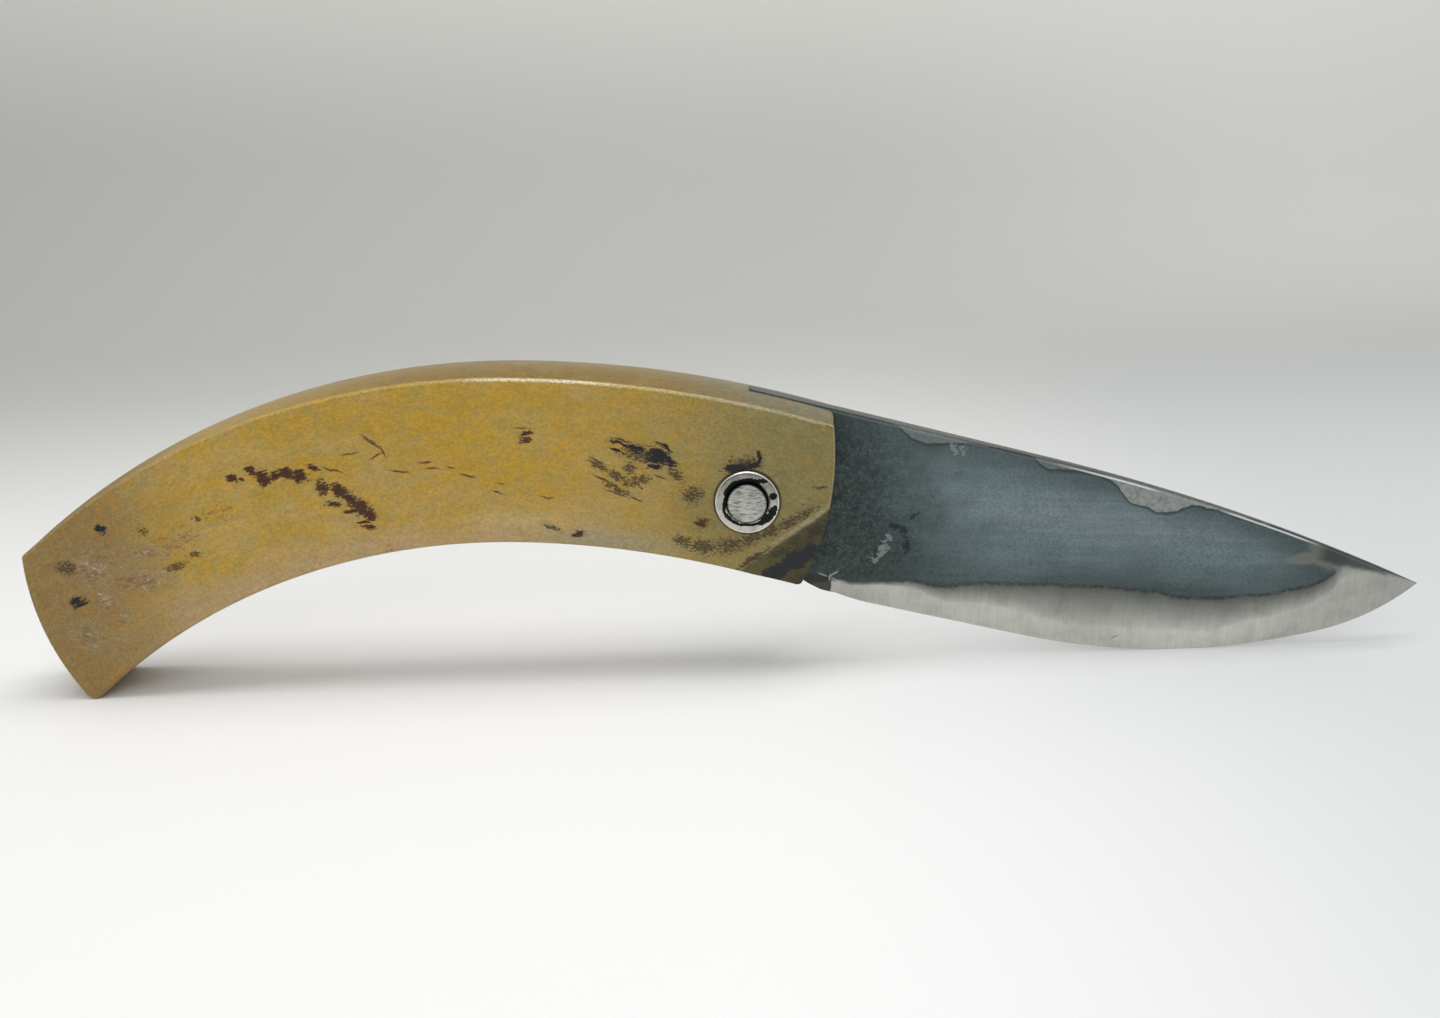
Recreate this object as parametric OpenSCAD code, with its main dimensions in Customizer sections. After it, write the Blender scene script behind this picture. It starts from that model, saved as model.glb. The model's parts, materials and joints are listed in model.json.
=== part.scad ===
// Friction folding knife: a one-piece horn handle with a sawn slot, a forged blade, one peened pivot pin
// and its washers. Side view outlines are drawn about the pivot, with X towards the tip and Z up, and Y is
// the thickness. The finished knife is then turned until its butt and the blade's belly touch the ground.

/* [Handle] */
// Thickness of the horn between its two flat sides
handle_t = 13; // [11:0.5:16]
// Distance from the pivot back to the top of the bow
bow_x = 34.5; // [30:0.5:38]
// Height of the back above the pivot at the bow
back_h = 19.3; // [18.6:0.1:22]
// Depth of the belly below the pivot at the bow
belly_h = 7.2; // [5:0.1:9]
// Radius of the back behind the bow
back_rear_r = 118; // [112:1:130]
// Radius of the back in front of the bow
back_front_r = 175; // [160:1:200]
// Radius of the hollow belly behind the bow
belly_rear_r = 100; // [94:0.5:108]
// Radius of the hollow belly in front of the bow
belly_front_r = 144; // [138:1:170]
// Radius of the crown across the back
crown_r = 18.2; // [12:0.1:40]
// Chamfer along both edges of the belly
belly_chamfer = 0.8; // [0.3:0.1:1.5]

/* [Handle ends] */
// Reach of the front end past the pivot
front_reach = 12.9; // [12:0.1:15]
// Height above the pivot at which the front end reaches furthest
front_z = 6.6; // [4:0.1:9]
// Radius of the rounded front end, seen from the side
front_r = 45; // [38:0.5:52]
// Reach of the butt behind the pivot
butt_reach = 112.7; // [110:0.1:118]
// Depth below the pivot at which the butt reaches furthest
butt_drop = 11.8; // [10:0.1:15]
// Radius of the butt, seen from the side
butt_r = 38; // [34:0.5:48]
// Radius of the butt's two corners
corner_r = 1.6; // [1:0.1:3]
// Height of the ridge of the lower front facet where it meets the front end, below the pivot
facet_drop = 2; // [0:0.1:4]
// Slope of that ridge
facet_slope = 32; // [24:1:40]
// Angle by which the facet leans into the side
facet_lean = 10; // [6:1:18]

/* [Blade] */
// Thickness of the blade at its tang
blade_t = 3.2; // [2.6:0.1:4]
// Thickness at the tip end of the taper
tip_t = 1.3; // [0.8:0.1:2]
// Distance past the pivot at which the taper starts
taper_x = 18; // [14:1:26]
// Thickness left at the cutting edge
edge_t = 0.2; // [0.1:0.05:0.4]
// Radius of the rounded end of the tang
tang_r = 9; // [8:0.1:10]
// Height of the spine over the handle's back at the stop
spine_proud = 0.1; // [0:0.05:0.5]
// Downward slope of the straight part of the spine
spine_slope = 13; // [11:0.5:14]
// Length of the straight part of the spine
spine_run = 46; // [38:1:54]
// Radius of the drop of the spine towards the tip
spine_r = 323; // [280:1:360]
// Chamfer along the edges of the spine
spine_chamfer = 0.4; // [0.2:0.1:0.8]
// Length of the unground heel, along the knife
ricasso_run = 4.4; // [2:0.2:7]
// Distance of the heel in front of the handle's lower front corner
heel_out = 0.9; // [0.5:0.1:2]
// Distance of the heel below that corner
heel_drop = 0.7; // [0.5:0.1:2]

/* [Cutting edge] */
// Downward slope of the edge at the heel
heel_slope = 30; // [24:1:34]
// Radius of the edge behind its straight part
heel_r = 35; // [28:1:42]
// Downward slope of the straight part of the edge
edge_slope = 11.5; // [10:0.5:13]
// Length of the straight part of the edge
edge_run = 24; // [20:1:28]
// Radius of the edge along its belly
edge_belly_r = 95; // [85:1:105]
// Upward slope of the edge where the tip curve starts
tip_slope = 16; // [13:0.5:19]
// Radius of the edge at the tip
tip_r = 32; // [26:1:40]
// Height of the ground bevel above the edge at the heel
bevel_heel = 3.4; // [2.5:0.1:5]
// Height of the ground bevel above the edge at the belly
bevel_belly = 8; // [6:0.1:10]

/* [Pivot] */
// Diameter of the pivot pin
pin_d = 5.4; // [4.8:0.1:5.8]
// Diameter of the pin's peened ends
pin_head_d = 5.9; // [5.8:0.1:6.8]
// Height of the pin's ends above the sides of the horn
pin_proud = 1.4; // [1:0.1:1.8]
// Diameter of the outer washers
washer_d = 9.6; // [8.8:0.1:12]
// Thickness of the outer washers
washer_t = 1; // [0.8:0.05:1.2]
// Depth of the seat for an outer washer in the horn
seat_depth = 0.4; // [0.2:0.05:0.6]
// Diameter of the inner friction washers
shim_d = 14; // [11:0.5:16]
// Thickness of the inner friction washers
shim_t = 0.2; // [0.1:0.05:0.3]

/* [Fits and motion] */
// Angle through which the blade folds
fold_angle = 165; // [158:1:166]
// Radial clearance of the blade on the pin
pin_running = 0.04; // [0.02:0.01:0.08]
// Radial clearance of the fixed pieces on the pin
pin_fixed = 0.02; // [0.01:0.01:0.05]
// Gap between a friction washer and the blade
side_gap = 0.05; // [0.03:0.01:0.1]
// Gap between the tang and the end of the slot when open
stop_gap = 0.05; // [0.02:0.01:0.1]
// Space left round the folded blade in the slot
slot_space = 1; // [0.6:0.1:1.5]
// Clearance round an outer washer in its seat
seat_space = 0.1; // [0.05:0.05:0.3]

/* [Hidden] */
$fn = 96;

// Number of straight steps in each arc of an outline
arc_steps = 12;
// Length by which a cutting shape runs past what it cuts
over = 10;
slot_w = blade_t + 2 * (shim_t + side_gap);
half_t = handle_t / 2;

// Point at a radius and an angle from a centre
function at(c, r, a) = c + r * [cos(a), sin(a)];
// Points of an arc
function arc(c, r, a0, a1) = [for (i = [0:arc_steps]) at(c, r, a0 + (a1 - a0) * i / arc_steps)];
// The same without its first point, for an arc that goes on from where another ends
function onward(c, r, a0, a1) = [for (i = [1:arc_steps]) at(c, r, a0 + (a1 - a0) * i / arc_steps)];
// A point turned about the pivot
function turned(p, a) = [p.x * cos(a) - p.y * sin(a), p.x * sin(a) + p.y * cos(a)];
// Angle of the corner of a triangle between two of its sides, opposite the third
function corner_angle(a, b, opposite) = acos((a * a + b * b - opposite * opposite) / (2 * a * b));
// One of the two points where two circles meet: side is 1 for the left of the line of centres, -1 for the right
function meet(c1, r1, c2, r2, side) =
    let (d = norm(c2 - c1), along = atan2(c2.y - c1.y, c2.x - c1.x))
    at(c1, r1, along + side * corner_angle(r1, d, r2));
// Direction of a point from a centre, from -180 to 180 degrees or from 0 to 360
function heading(c, p) = atan2(p.y - c.y, p.x - c.x);
function heading_up(c, p) = (heading(c, p) + 360) % 360;

// Centres of the handle's curves
back_rear_c = [-bow_x, back_h - back_rear_r];
back_front_c = [-bow_x, back_h - back_front_r];
belly_rear_c = [-bow_x, -belly_h - belly_rear_r];
belly_front_c = [-bow_x, -belly_h - belly_front_r];
front_c = [front_reach - front_r, front_z];
butt_c = [butt_r - butt_reach, -butt_drop];
// Centres of the butt's rounded corners, inside the curves that they join
upper_corner_c = meet(butt_c, butt_r - corner_r, back_rear_c, back_rear_r - corner_r, -1);
lower_corner_c = meet(butt_c, butt_r - corner_r, belly_rear_c, belly_rear_r + corner_r, -1);
// Lower front corner of the handle
front_corner = meet(front_c, front_r, belly_front_c, belly_front_r, 1);

// Outline of the blade: the heel, the straight edge, its belly and the curve up to the tip
heel = front_corner + [heel_out, -heel_drop];
heel_c = at(heel, heel_r, 90 - heel_slope);
edge_a = at(heel_c, heel_r, -90 - edge_slope);
edge_b = at(edge_a, edge_run, -edge_slope);
edge_belly_c = at(edge_b, edge_belly_r, 90 - edge_slope);
tip_curve = at(edge_belly_c, edge_belly_r, -90 + tip_slope);
tip_c = at(tip_curve, tip_r, 90 + tip_slope);
// Spine: straight from the stop, then one long arc
back_at_pivot = back_front_c.y + sqrt(pow(back_front_r, 2) - pow(bow_x, 2));
spine_a = [0, back_at_pivot + spine_proud];
spine_b = at(spine_a, spine_run, -spine_slope);
spine_c = at(spine_b, spine_r, -90 - spine_slope);
tip = meet(tip_c, tip_r, spine_c, spine_r, 1);
tip_reach = norm(tip);
// Where the ground part of the blade starts
grind_x = heel.x + ricasso_run;
grind_angle = -acos((grind_x - heel_c.x) / heel_r);
grind_spine = [grind_x, spine_a.y - grind_x * tan(spine_slope)];
// Angle at which the tang's rounded end meets its straight lower side
tang_end = 280;

// The cutting edge from an angle on the heel's arc to the tip, moved outwards by grow
function edge_points(grow, start) = concat(
    arc(heel_c, heel_r + grow, start, -90 - edge_slope),
    arc(edge_belly_c, edge_belly_r + grow, -90 - edge_slope, -90 + tip_slope),
    onward(tip_c, tip_r + grow, -90 + tip_slope, heading(tip_c, tip)));
// The upper limit of the ground bevel, which keeps to the edge's own curves
bevel_points = concat(
    arc(heel_c, heel_r - bevel_heel, grind_angle, -90 - edge_slope),
    arc(edge_belly_c, edge_belly_r - bevel_belly, -90, -90 + tip_slope),
    onward(tip_c, tip_r - bevel_belly, -90 + tip_slope, heading(tip_c, tip) - 12));
// The curved part of the spine from the tip back, moved inwards by drop
function spine_points(drop) = arc(spine_c, spine_r - drop, heading(spine_c, tip), 90 - spine_slope);
tang_points = arc([0, 0], tang_r, 90, tang_end);

// The slot: open in front of the stop, round the tang, over the folded edge and past the folded tip
slot_tip_r = tip_reach + slot_space;
folded_edge = [for (p = edge_points(slot_space, -90 - heel_slope)) turned(p, -fold_angle)];
folded_tip_angle = heading([0, 0], tip) - fold_angle + 360;
butt_corner_angle = heading_up([0, 0], lower_corner_c);
slot_points = concat(
    [[-stop_gap, back_h + over]],
    arc([0, 0], tang_r + slot_space, 90 + stop_gap, tang_end - fold_angle),
    folded_edge,
    arc([0, 0], slot_tip_r, folded_tip_angle, butt_corner_angle + 2),
    [[front_reach + over, -butt_reach / 2], [front_reach + over, back_h + over]]);

// Side of the handle without its back and belly, which are cut by surfaces of revolution. The butt's corners
// start a little past the curves that they join, and the outline leaves them along a tangent.
corner_stop = 15;
upper_start = heading(back_rear_c, upper_corner_c) + corner_stop;
upper_leave = at(at(upper_corner_c, corner_r, upper_start), over, upper_start - 90);
lower_stop = heading(lower_corner_c, belly_rear_c) + 360 - corner_stop;
lower_leave = at(at(lower_corner_c, corner_r, lower_stop), over, lower_stop + 90);
handle_points = concat(
    arc(front_c, front_r, -45, 30),
    arc(back_rear_c, back_rear_r + over, 90, heading(back_rear_c, upper_leave)),
    [upper_leave],
    arc(upper_corner_c, corner_r, upper_start, heading_up(butt_c, upper_corner_c)),
    onward(butt_c, butt_r, heading_up(butt_c, upper_corner_c), heading_up(butt_c, lower_corner_c)),
    onward(lower_corner_c, corner_r, heading_up(butt_c, lower_corner_c), lower_stop),
    [lower_leave]);

// The pin's peened ends and the sinks in the outer washers that hold them
sink_depth = 0.5;
sink_gap = 0.3;
rim = 0.3;
washer_y = half_t - seat_depth;
washer_face = washer_y + washer_t;

// Standing pose: the butt's lower corner and the edge's belly touch the ground, and the origin lies on the
// ground below the middle of the knife
stand_tilt = heading(lower_corner_c, edge_belly_c)
    - asin((edge_belly_r - corner_r) / norm(edge_belly_c - lower_corner_c));
pivot_height = edge_belly_r - turned(edge_belly_c, -stand_tilt).y;
mid_x = (turned(butt_c, -stand_tilt).x - butt_r + turned(tip, -stand_tilt).x) / 2;

module standing() {
    translate([-mid_x, 0, pivot_height]) rotate([0, stand_tilt, 0]) children();
}

// A plate of an outline drawn about the pivot, centred on the knife's middle plane
module plate(thickness) {
    rotate([90, 0, 0]) linear_extrude(height = thickness, center = true) children();
}

// A profile in radius and thickness, turned about an axis across the knife: sweep degrees on from a start angle,
// which is counted from the tip's direction upwards
module turned_about(c, start = 0, sweep = 360) {
    translate([c.x, 0, c.y]) rotate([90, 0, 0]) rotate([0, 0, start])
        rotate_extrude(angle = sweep, $fn = 180) children();
}

// The quarter turn behind the top of a curve, or the one in front of it
module quarter_turn(c, front) {
    turned_about(c, front ? 0 : 90, 90) children();
}

// A cylinder across the knife on the pivot's axis
module across(radius, y0, y1) {
    translate([0, y0, 0]) rotate([-90, 0, 0]) cylinder(r = radius, h = y1 - y0);
}

// What lies above the crowned back, behind the bow or in front of it
module above_back(c, r, front) {
    quarter_turn(c, front) difference() {
        translate([r - over, -half_t - 1]) square([over + back_h + butt_reach, handle_t + 2]);
        translate([r - crown_r, 0]) circle(crown_r);
    }
}

// What lies below the belly, flared to chamfer its two edges
module below_belly(c, r, front) {
    flat = half_t - belly_chamfer;
    quarter_turn(c, front) polygon([[0, -half_t - 1], [r + belly_chamfer + 1, -half_t - 1], [r, -flat],
        [r, flat], [r + belly_chamfer + 1, half_t + 1], [0, half_t + 1]]);
}

// The flat that thins one cheek at its lower front corner: side is 1 for the far cheek, -1 for the near one
module front_facet(side) {
    ridge_x = front_c.x + sqrt(pow(front_r, 2) - pow(front_z + facet_drop, 2));
    translate([ridge_x, side * half_t, -facet_drop]) rotate([0, -facet_slope, 0])
        rotate([-side * facet_lean, 0, 0])
            translate([-butt_reach / 2, side > 0 ? 0 : -over, -butt_reach / 2])
                cube([butt_reach, over, butt_reach]);
}

module horn_handle() {
    color("#b59a4c") standing() difference() {
        plate(handle_t) polygon(handle_points);
        above_back(back_rear_c, back_rear_r, false);
        above_back(back_front_c, back_front_r, true);
        below_belly(belly_rear_c, belly_rear_r, false);
        below_belly(belly_front_c, belly_front_r, true);
        plate(slot_w) polygon(slot_points);
        front_facet(-1);
        front_facet(1);
        across(pin_d / 2 + pin_fixed, -handle_t, handle_t);
        across(washer_d / 2 + seat_space, washer_y, handle_t);
        across(washer_d / 2 + seat_space, -handle_t, -washer_y);
    }
}

// The blade's thickness seen from above, even over the tang and tapered towards the tip
module taper(inset) {
    half = blade_t / 2 - inset;
    half_tip = tip_t / 2 - inset;
    translate([0, 0, -butt_reach / 2]) linear_extrude(height = butt_reach)
        polygon([[-over, -half], [taper_x, -half], [tip.x, -half_tip], [tip.x + over, -half_tip],
            [tip.x + over, half_tip], [tip.x, half_tip], [taper_x, half], [-over, half]]);
}

// The unground part of the blade: the tang, its stop face and the heel
module tang() {
    flat = blade_t / 2 - spine_chamfer;
    intersection() {
        plate(blade_t) polygon(concat([grind_spine, spine_a], tang_points,
            arc(heel_c, heel_r, -90 - heel_slope, grind_angle)));
        translate([0, 0, spine_a.y]) rotate([0, 90 + spine_slope, 0])
            translate([0, 0, -over]) linear_extrude(height = grind_x + 2 * over)
                polygon([[0, -flat], [spine_chamfer, -blade_t / 2], [butt_reach, -blade_t / 2],
                    [butt_reach, blade_t / 2], [spine_chamfer, blade_t / 2], [0, flat]]);
    }
}

// The ground part of the blade, from the heel to the tip
module ground_blade() {
    hull() {
        plate(edge_t) polygon(edge_points(0, grind_angle));
        intersection() {
            taper(0);
            plate(handle_t) polygon(concat(bevel_points, spine_points(spine_chamfer),
                [grind_spine - [0, spine_chamfer / cos(spine_slope)]]));
        }
        intersection() {
            taper(spine_chamfer);
            plate(handle_t) polygon(concat(bevel_points, spine_points(0), [grind_spine]));
        }
    }
}

module blade() {
    color("#5d666c") standing() difference() {
        union() {
            tang();
            ground_blade();
        }
        across(pin_d / 2 + pin_running, -blade_t, blade_t);
    }
}

module pivot_pin() {
    end = half_t + pin_proud;
    head_r = pin_head_d / 2;
    neck = washer_face - sink_depth;
    color("#b9bcbd") standing() turned_about([0, 0])
        polygon([[0, -end], [head_r - rim, -end], [head_r, rim - end], [head_r, rim - washer_face],
            [pin_d / 2, -neck], [pin_d / 2, neck], [head_r, washer_face - rim], [head_r, end - rim],
            [head_r - rim, end], [0, end]]);
}

// A washer let into the horn, its bore sunk for the peened end of the pin
module outer_washer(side) {
    bore = pin_d / 2 + pin_fixed;
    sink = pin_head_d / 2 + sink_gap;
    outer = washer_d / 2;
    color("#a4a8a8") standing() mirror([0, side > 0 ? 1 : 0, 0]) turned_about([0, 0])
        polygon([[bore, washer_y], [outer, washer_y], [outer, washer_face - rim],
            [outer - rim, washer_face], [sink, washer_face], [bore, washer_face - sink_depth]]);
}

// A thin washer that lies on the inner face of one cheek
module inner_washer(side) {
    color("#b98b4e") standing() difference() {
        across(shim_d / 2, side > 0 ? slot_w / 2 - shim_t : -slot_w / 2,
            side > 0 ? slot_w / 2 : shim_t - slot_w / 2);
        across(pin_d / 2 + pin_fixed, -blade_t, blade_t);
    }
}

module near_outer_washer() { outer_washer(-1); }
module far_outer_washer() { outer_washer(1); }
module near_inner_washer() { inner_washer(-1); }
module far_inner_washer() { inner_washer(1); }

horn_handle();
blade();
pivot_pin();
near_outer_washer();
far_outer_washer();
near_inner_washer();
far_inner_washer();
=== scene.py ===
"""Dresses the packed friction folding knife: a waxed blond horn handle, a forged blade with a ground bevel,
the peened pin and its washers. Sizes are in metres. Side view shapes are drawn about the pivot, with X
towards the tip and Z up, and then turned into the frame in which the open knife stands on the floor.
"""
import json
import math
from types import SimpleNamespace

import bmesh
import bpy
from bpy.props import FloatProperty, FloatVectorProperty, PointerProperty
from mathutils import Matrix, Vector, noise


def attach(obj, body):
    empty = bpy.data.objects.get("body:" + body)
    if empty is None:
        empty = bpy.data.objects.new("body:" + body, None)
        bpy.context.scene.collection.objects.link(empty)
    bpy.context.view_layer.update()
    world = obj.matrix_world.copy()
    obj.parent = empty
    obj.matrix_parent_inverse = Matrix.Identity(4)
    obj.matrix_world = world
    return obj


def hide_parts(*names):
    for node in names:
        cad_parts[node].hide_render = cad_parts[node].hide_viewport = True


bl_info = {
    "name": "Friction Folding Knife",
    "version": (1, 0, 0),
    "blender": (4, 5, 0),
    "location": "View3D > Sidebar > Knife",
    "description": "Models and finishes a horn handled friction folder round its packed frame",
    "category": "Object",
}

MM = 0.001
MERGE = 1e-7
NEAR, FAR = -1, 1

# Small sizes that the settings leave out
STOP_GAP = 0.05 * MM    # tang's stop to the end of the slot
TANG_INSET = 0.01 * MM  # tang's round end inside the flanks that it joins
RIDGE_SOFT = 0.5 * MM   # rounding along the facet's ridge
PIN_DOME = 0.12 * MM    # drop of the pin's end from its middle to its rim
THIN_TIP = 9 * MM       # length over which the blade's end gets thinner still
CUT_OVER = 5 * MM       # how far a cutter reaches past a face, or past the middle plane of the blade
TANG_END = 280          # heading of the tang's lower corner from the pivot, in degrees

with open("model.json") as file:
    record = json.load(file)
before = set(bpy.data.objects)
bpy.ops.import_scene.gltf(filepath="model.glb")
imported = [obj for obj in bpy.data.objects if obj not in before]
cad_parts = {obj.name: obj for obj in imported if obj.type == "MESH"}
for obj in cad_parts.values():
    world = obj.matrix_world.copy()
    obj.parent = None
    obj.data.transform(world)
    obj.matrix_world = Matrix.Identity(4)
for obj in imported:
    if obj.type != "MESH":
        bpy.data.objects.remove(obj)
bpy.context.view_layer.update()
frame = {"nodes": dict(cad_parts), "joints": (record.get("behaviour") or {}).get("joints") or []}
PIVOT = Vector(frame["joints"][0]["pos_m"])


# Settings -----------------------------------------------------------------------------------------------

def length(name, about, millimetres):
    """A length that the user can set, with its default in millimetres."""
    return FloatProperty(name=name, description=about, default=millimetres * MM, unit="LENGTH")


def angle(name, about, degrees):
    """An angle that the user can set, with its default in degrees."""
    return FloatProperty(name=name, description=about, default=math.radians(degrees), unit="ROTATION")


def colour(name, about, red, green, blue):
    """A colour that the user can set."""
    return FloatVectorProperty(name=name, description=about, default=(red, green, blue), size=3,
                               subtype="COLOR", min=0, max=1)


class HornShape(bpy.types.PropertyGroup):
    """Sizes of the horn handle"""
    thickness: length("Thickness", "Between the two flat sides", 13)
    bow_x: length("Bow", "From the pivot back to the top of the bow", 34.5)
    back_h: length("Back height", "Back above the pivot at the bow", 19.3)
    belly_h: length("Belly depth", "Belly below the pivot at the bow", 7.2)
    back_rear_r: length("Back rear radius", "Back behind the bow", 118)
    back_front_r: length("Back front radius", "Back in front of the bow", 175)
    belly_rear_r: length("Belly rear radius", "Hollow belly behind the bow", 100)
    belly_front_r: length("Belly front radius", "Hollow belly in front of the bow", 144)
    crown_r: length("Crown radius", "Rounding across the back", 18.2)
    front_reach: length("Front reach", "Front end past the pivot", 12.9)
    front_z: length("Front height", "Height at which the front end reaches furthest", 6.6)
    front_r: length("Front radius", "Rounded front end, seen from the side", 45)
    butt_reach: length("Butt reach", "Butt behind the pivot", 112.7)
    butt_drop: length("Butt drop", "Depth at which the butt reaches furthest", 11.8)
    butt_r: length("Butt radius", "Rounded butt, seen from the side", 38)
    butt_corner_r: length("Butt corner", "Radius of the butt's two corners", 1.6)
    front_corner_r: length("Front corner", "Radius of the front end's two corners", 0.8)
    facet_drop: length("Facet drop", "Depth of the facet's ridge at the front end", 0.5)
    facet_slope: angle("Facet slope", "Slope of the facet's ridge", 36.5)
    facet_lean: angle("Facet lean", "Angle by which the facet leans into the side", 10)
    soft_edge: length("Soft edge", "Rounding along the edges of the sides", 0.45)
    belly_edge: length("Belly edge", "Rounding along the two edges of the belly", 0.75)
    slot_space: length("Slot space", "Space round the folded blade", 1)
    slot_side: length("Slot side gap", "Horn's inner face to the blade's flank", 0.25)


class BladeShape(bpy.types.PropertyGroup):
    """Sizes of the forged blade"""
    thickness: length("Thickness", "At the tang", 3.2)
    tip_thickness: length("Tip thickness", "At the end of the taper", 1.3)
    taper_x: length("Taper start", "Distance past the pivot", 18)
    edge_thickness: length("Edge thickness", "Left at the cutting edge", 0.16)
    tang_r: length("Tang radius", "Rounded end of the tang", 9)
    spine_proud: length("Spine proud", "Spine over the handle's back at the stop", 0.1)
    spine_slope: angle("Spine slope", "Downward slope of the straight spine", 13)
    spine_run: length("Spine run", "Length of the straight spine", 46)
    spine_r: length("Spine radius", "Drop of the spine towards the tip", 323)
    spine_chamfer: length("Spine chamfer", "Broken edges of the spine", 0.4)
    heel_out: length("Heel out", "Heel in front of the horn's corner", 0.9)
    heel_drop: length("Heel drop", "Heel below the horn's corner", 0.7)
    ricasso: length("Ricasso", "Unground heel, along the knife", 4.4)
    heel_slope: angle("Heel slope", "Downward slope of the edge at the heel", 30)
    heel_r: length("Heel radius", "Edge behind its straight part", 35)
    edge_slope: angle("Edge slope", "Downward slope of the straight edge", 11.5)
    edge_run: length("Edge run", "Straight part of the edge", 24)
    edge_belly_r: length("Edge belly radius", "Edge along its belly", 95)
    tip_slope: angle("Tip slope", "Upward slope where the tip curve starts", 16)
    tip_r: length("Tip radius", "Edge at the tip", 32)
    bevel_heel: length("Bevel at the heel", "Height of the ground bevel at the heel", 3.4)
    bevel_belly: length("Bevel at the belly", "Height of the ground bevel at the belly", 9)


class PivotShape(bpy.types.PropertyGroup):
    """Sizes of the pin and its outer washers"""
    pin_d: length("Pin diameter", "Shank of the pin", 5.4)
    head_d: length("Head diameter", "Peened ends of the pin", 5.9)
    proud: length("Pin proud", "Pin's ends above the horn's sides", 1.4)
    washer_d: length("Washer diameter", "Outer washers", 9.6)
    washer_t: length("Washer thickness", "Outer washers", 1)
    seat_depth: length("Seat depth", "Washer's seat in the horn", 0.4)
    seat_space: length("Seat space", "Round a washer in its seat", 0.1)
    running: length("Running gap", "Blade's bore on the pin", 0.04)
    fixed: length("Fixed gap", "Fixed bores on the pin", 0.02)
    sink_depth: length("Sink depth", "Countersink in the outer washer", 0.5)
    sink_gap: length("Sink gap", "Open ring between the pin's end and the washer's face", 0.3)
    rim: length("Rim", "Rounding of the washer's and the pin's rims", 0.3)


class Finish(bpy.types.PropertyGroup):
    """Colours of the finished surfaces"""
    horn: colour("Horn", "Blond horn", 0.437, 0.283, 0.071)
    horn_gold: colour("Horn gold", "Warmest part, at the bow", 0.44, 0.26, 0.016)
    horn_front: colour("Horn front", "Greyer olive front end", 0.19, 0.155, 0.05)
    horn_butt: colour("Horn butt", "Browner butt", 0.256, 0.15, 0.043)
    horn_mauve: colour("Horn mauve", "Pinkish band along the belly", 0.435, 0.29, 0.145)
    # The back's browner tone is partly the horn's own and partly painted shade on its top
    horn_crown: colour("Horn crown", "Browner back", 0.175, 0.102, 0.028)
    horn_brown: colour("Horn brown", "Reddish brown natural marks", 0.04, 0.011, 0.002)
    horn_black: colour("Horn black", "Blue-black natural marks", 0.004, 0.003, 0.006)
    horn_chalk: colour("Horn chalk", "Chalky rough patches at the butt", 0.42, 0.34, 0.26)
    skin: colour("Forge skin", "Blue-grey scale on the flanks", 0.155, 0.205, 0.22)
    skin_dark: colour("Dark forge skin", "Black-green scale near the handle", 0.014, 0.022, 0.021)
    rubbed: colour("Rubbed skin", "Scale worn bright under the spine", 0.32, 0.345, 0.325)
    ground: colour("Ground steel", "Satin bevel", 0.535, 0.53, 0.487)
    pin: colour("Pin steel", "Filed end of the pin", 0.47, 0.475, 0.44)
    washer: colour("Washer steel", "Worn face of the washers", 0.41, 0.402, 0.34)
    oxide: colour("Oxide", "Dark scale left on the washers", 0.006, 0.012, 0.010)
    bronze: colour("Bronze", "Inner friction washers", 0.45, 0.28, 0.12)


class Studio(bpy.types.PropertyGroup):
    """Camera, floor and light"""
    pitch: angle("Camera pitch", "Downward angle of the view", 17.5)
    yaw: angle("Camera yaw", "Tip's end nearer to the camera", 3)
    distance: length("Camera distance", "From the camera to the middle of the frame", 215.6)
    aim_x: length("Aim along", "Middle of the frame behind the pivot", 4.41)
    aim_z: length("Aim up", "Middle of the frame below the pivot", 3.26)
    lens: FloatProperty(name="Lens", description="Focal length in millimetres", default=35)
    # These paper colours paint its shade and light: white close by, greyer behind the knife, lighter again higher up
    paper: colour("Paper", "White sheet under the knife", 0.88, 0.88, 0.87)
    wall: colour("Far paper", "Greyer sheet behind the knife", 0.59, 0.585, 0.56)
    wall_top: colour("High paper", "Sheet higher up behind the knife", 0.80, 0.80, 0.75)
    room: colour("Room", "Even light of the room", 0.50, 0.505, 0.51)


GROUPS = {
    "knife_horn": HornShape,
    "knife_blade": BladeShape,
    "knife_pivot": PivotShape,
    "knife_finish": Finish,
    "knife_studio": Studio,
}


# Side view geometry -------------------------------------------------------------------------------------

def polar(centre, radius, degrees):
    """Point at a radius and an angle from a centre."""
    turn = math.radians(degrees)
    return centre + radius * Vector((math.cos(turn), math.sin(turn)))


def heading(centre, point):
    """Direction of a point from a centre, in degrees."""
    away = point - centre
    return math.degrees(math.atan2(away.y, away.x))


def heading_up(centre, point):
    """The same, from 0 to 360."""
    return heading(centre, point) % 360


def meet(c1, r1, c2, r2, side):
    """One of the two points where two circles meet: side is 1 for the left of the line of centres."""
    gap = (c2 - c1).length
    corner = math.degrees(math.acos((r1 * r1 + gap * gap - r2 * r2) / (2 * r1 * gap)))
    return polar(c1, r1, heading(c1, c2) + side * corner)


def turned(point, degrees):
    """A point turned about the pivot."""
    return polar(Vector((0, 0)), point.length, heading(Vector((0, 0)), point) + degrees)


def smooth(low, high, value):
    """0 below low, 1 above high and an S curve between."""
    t = min(max((value - low) / (high - low), 0), 1)
    return t * t * (3 - 2 * t)


def mix(a, b, t):
    """From a to b as t goes from 0 to 1."""
    return a + (b - a) * t


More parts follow.
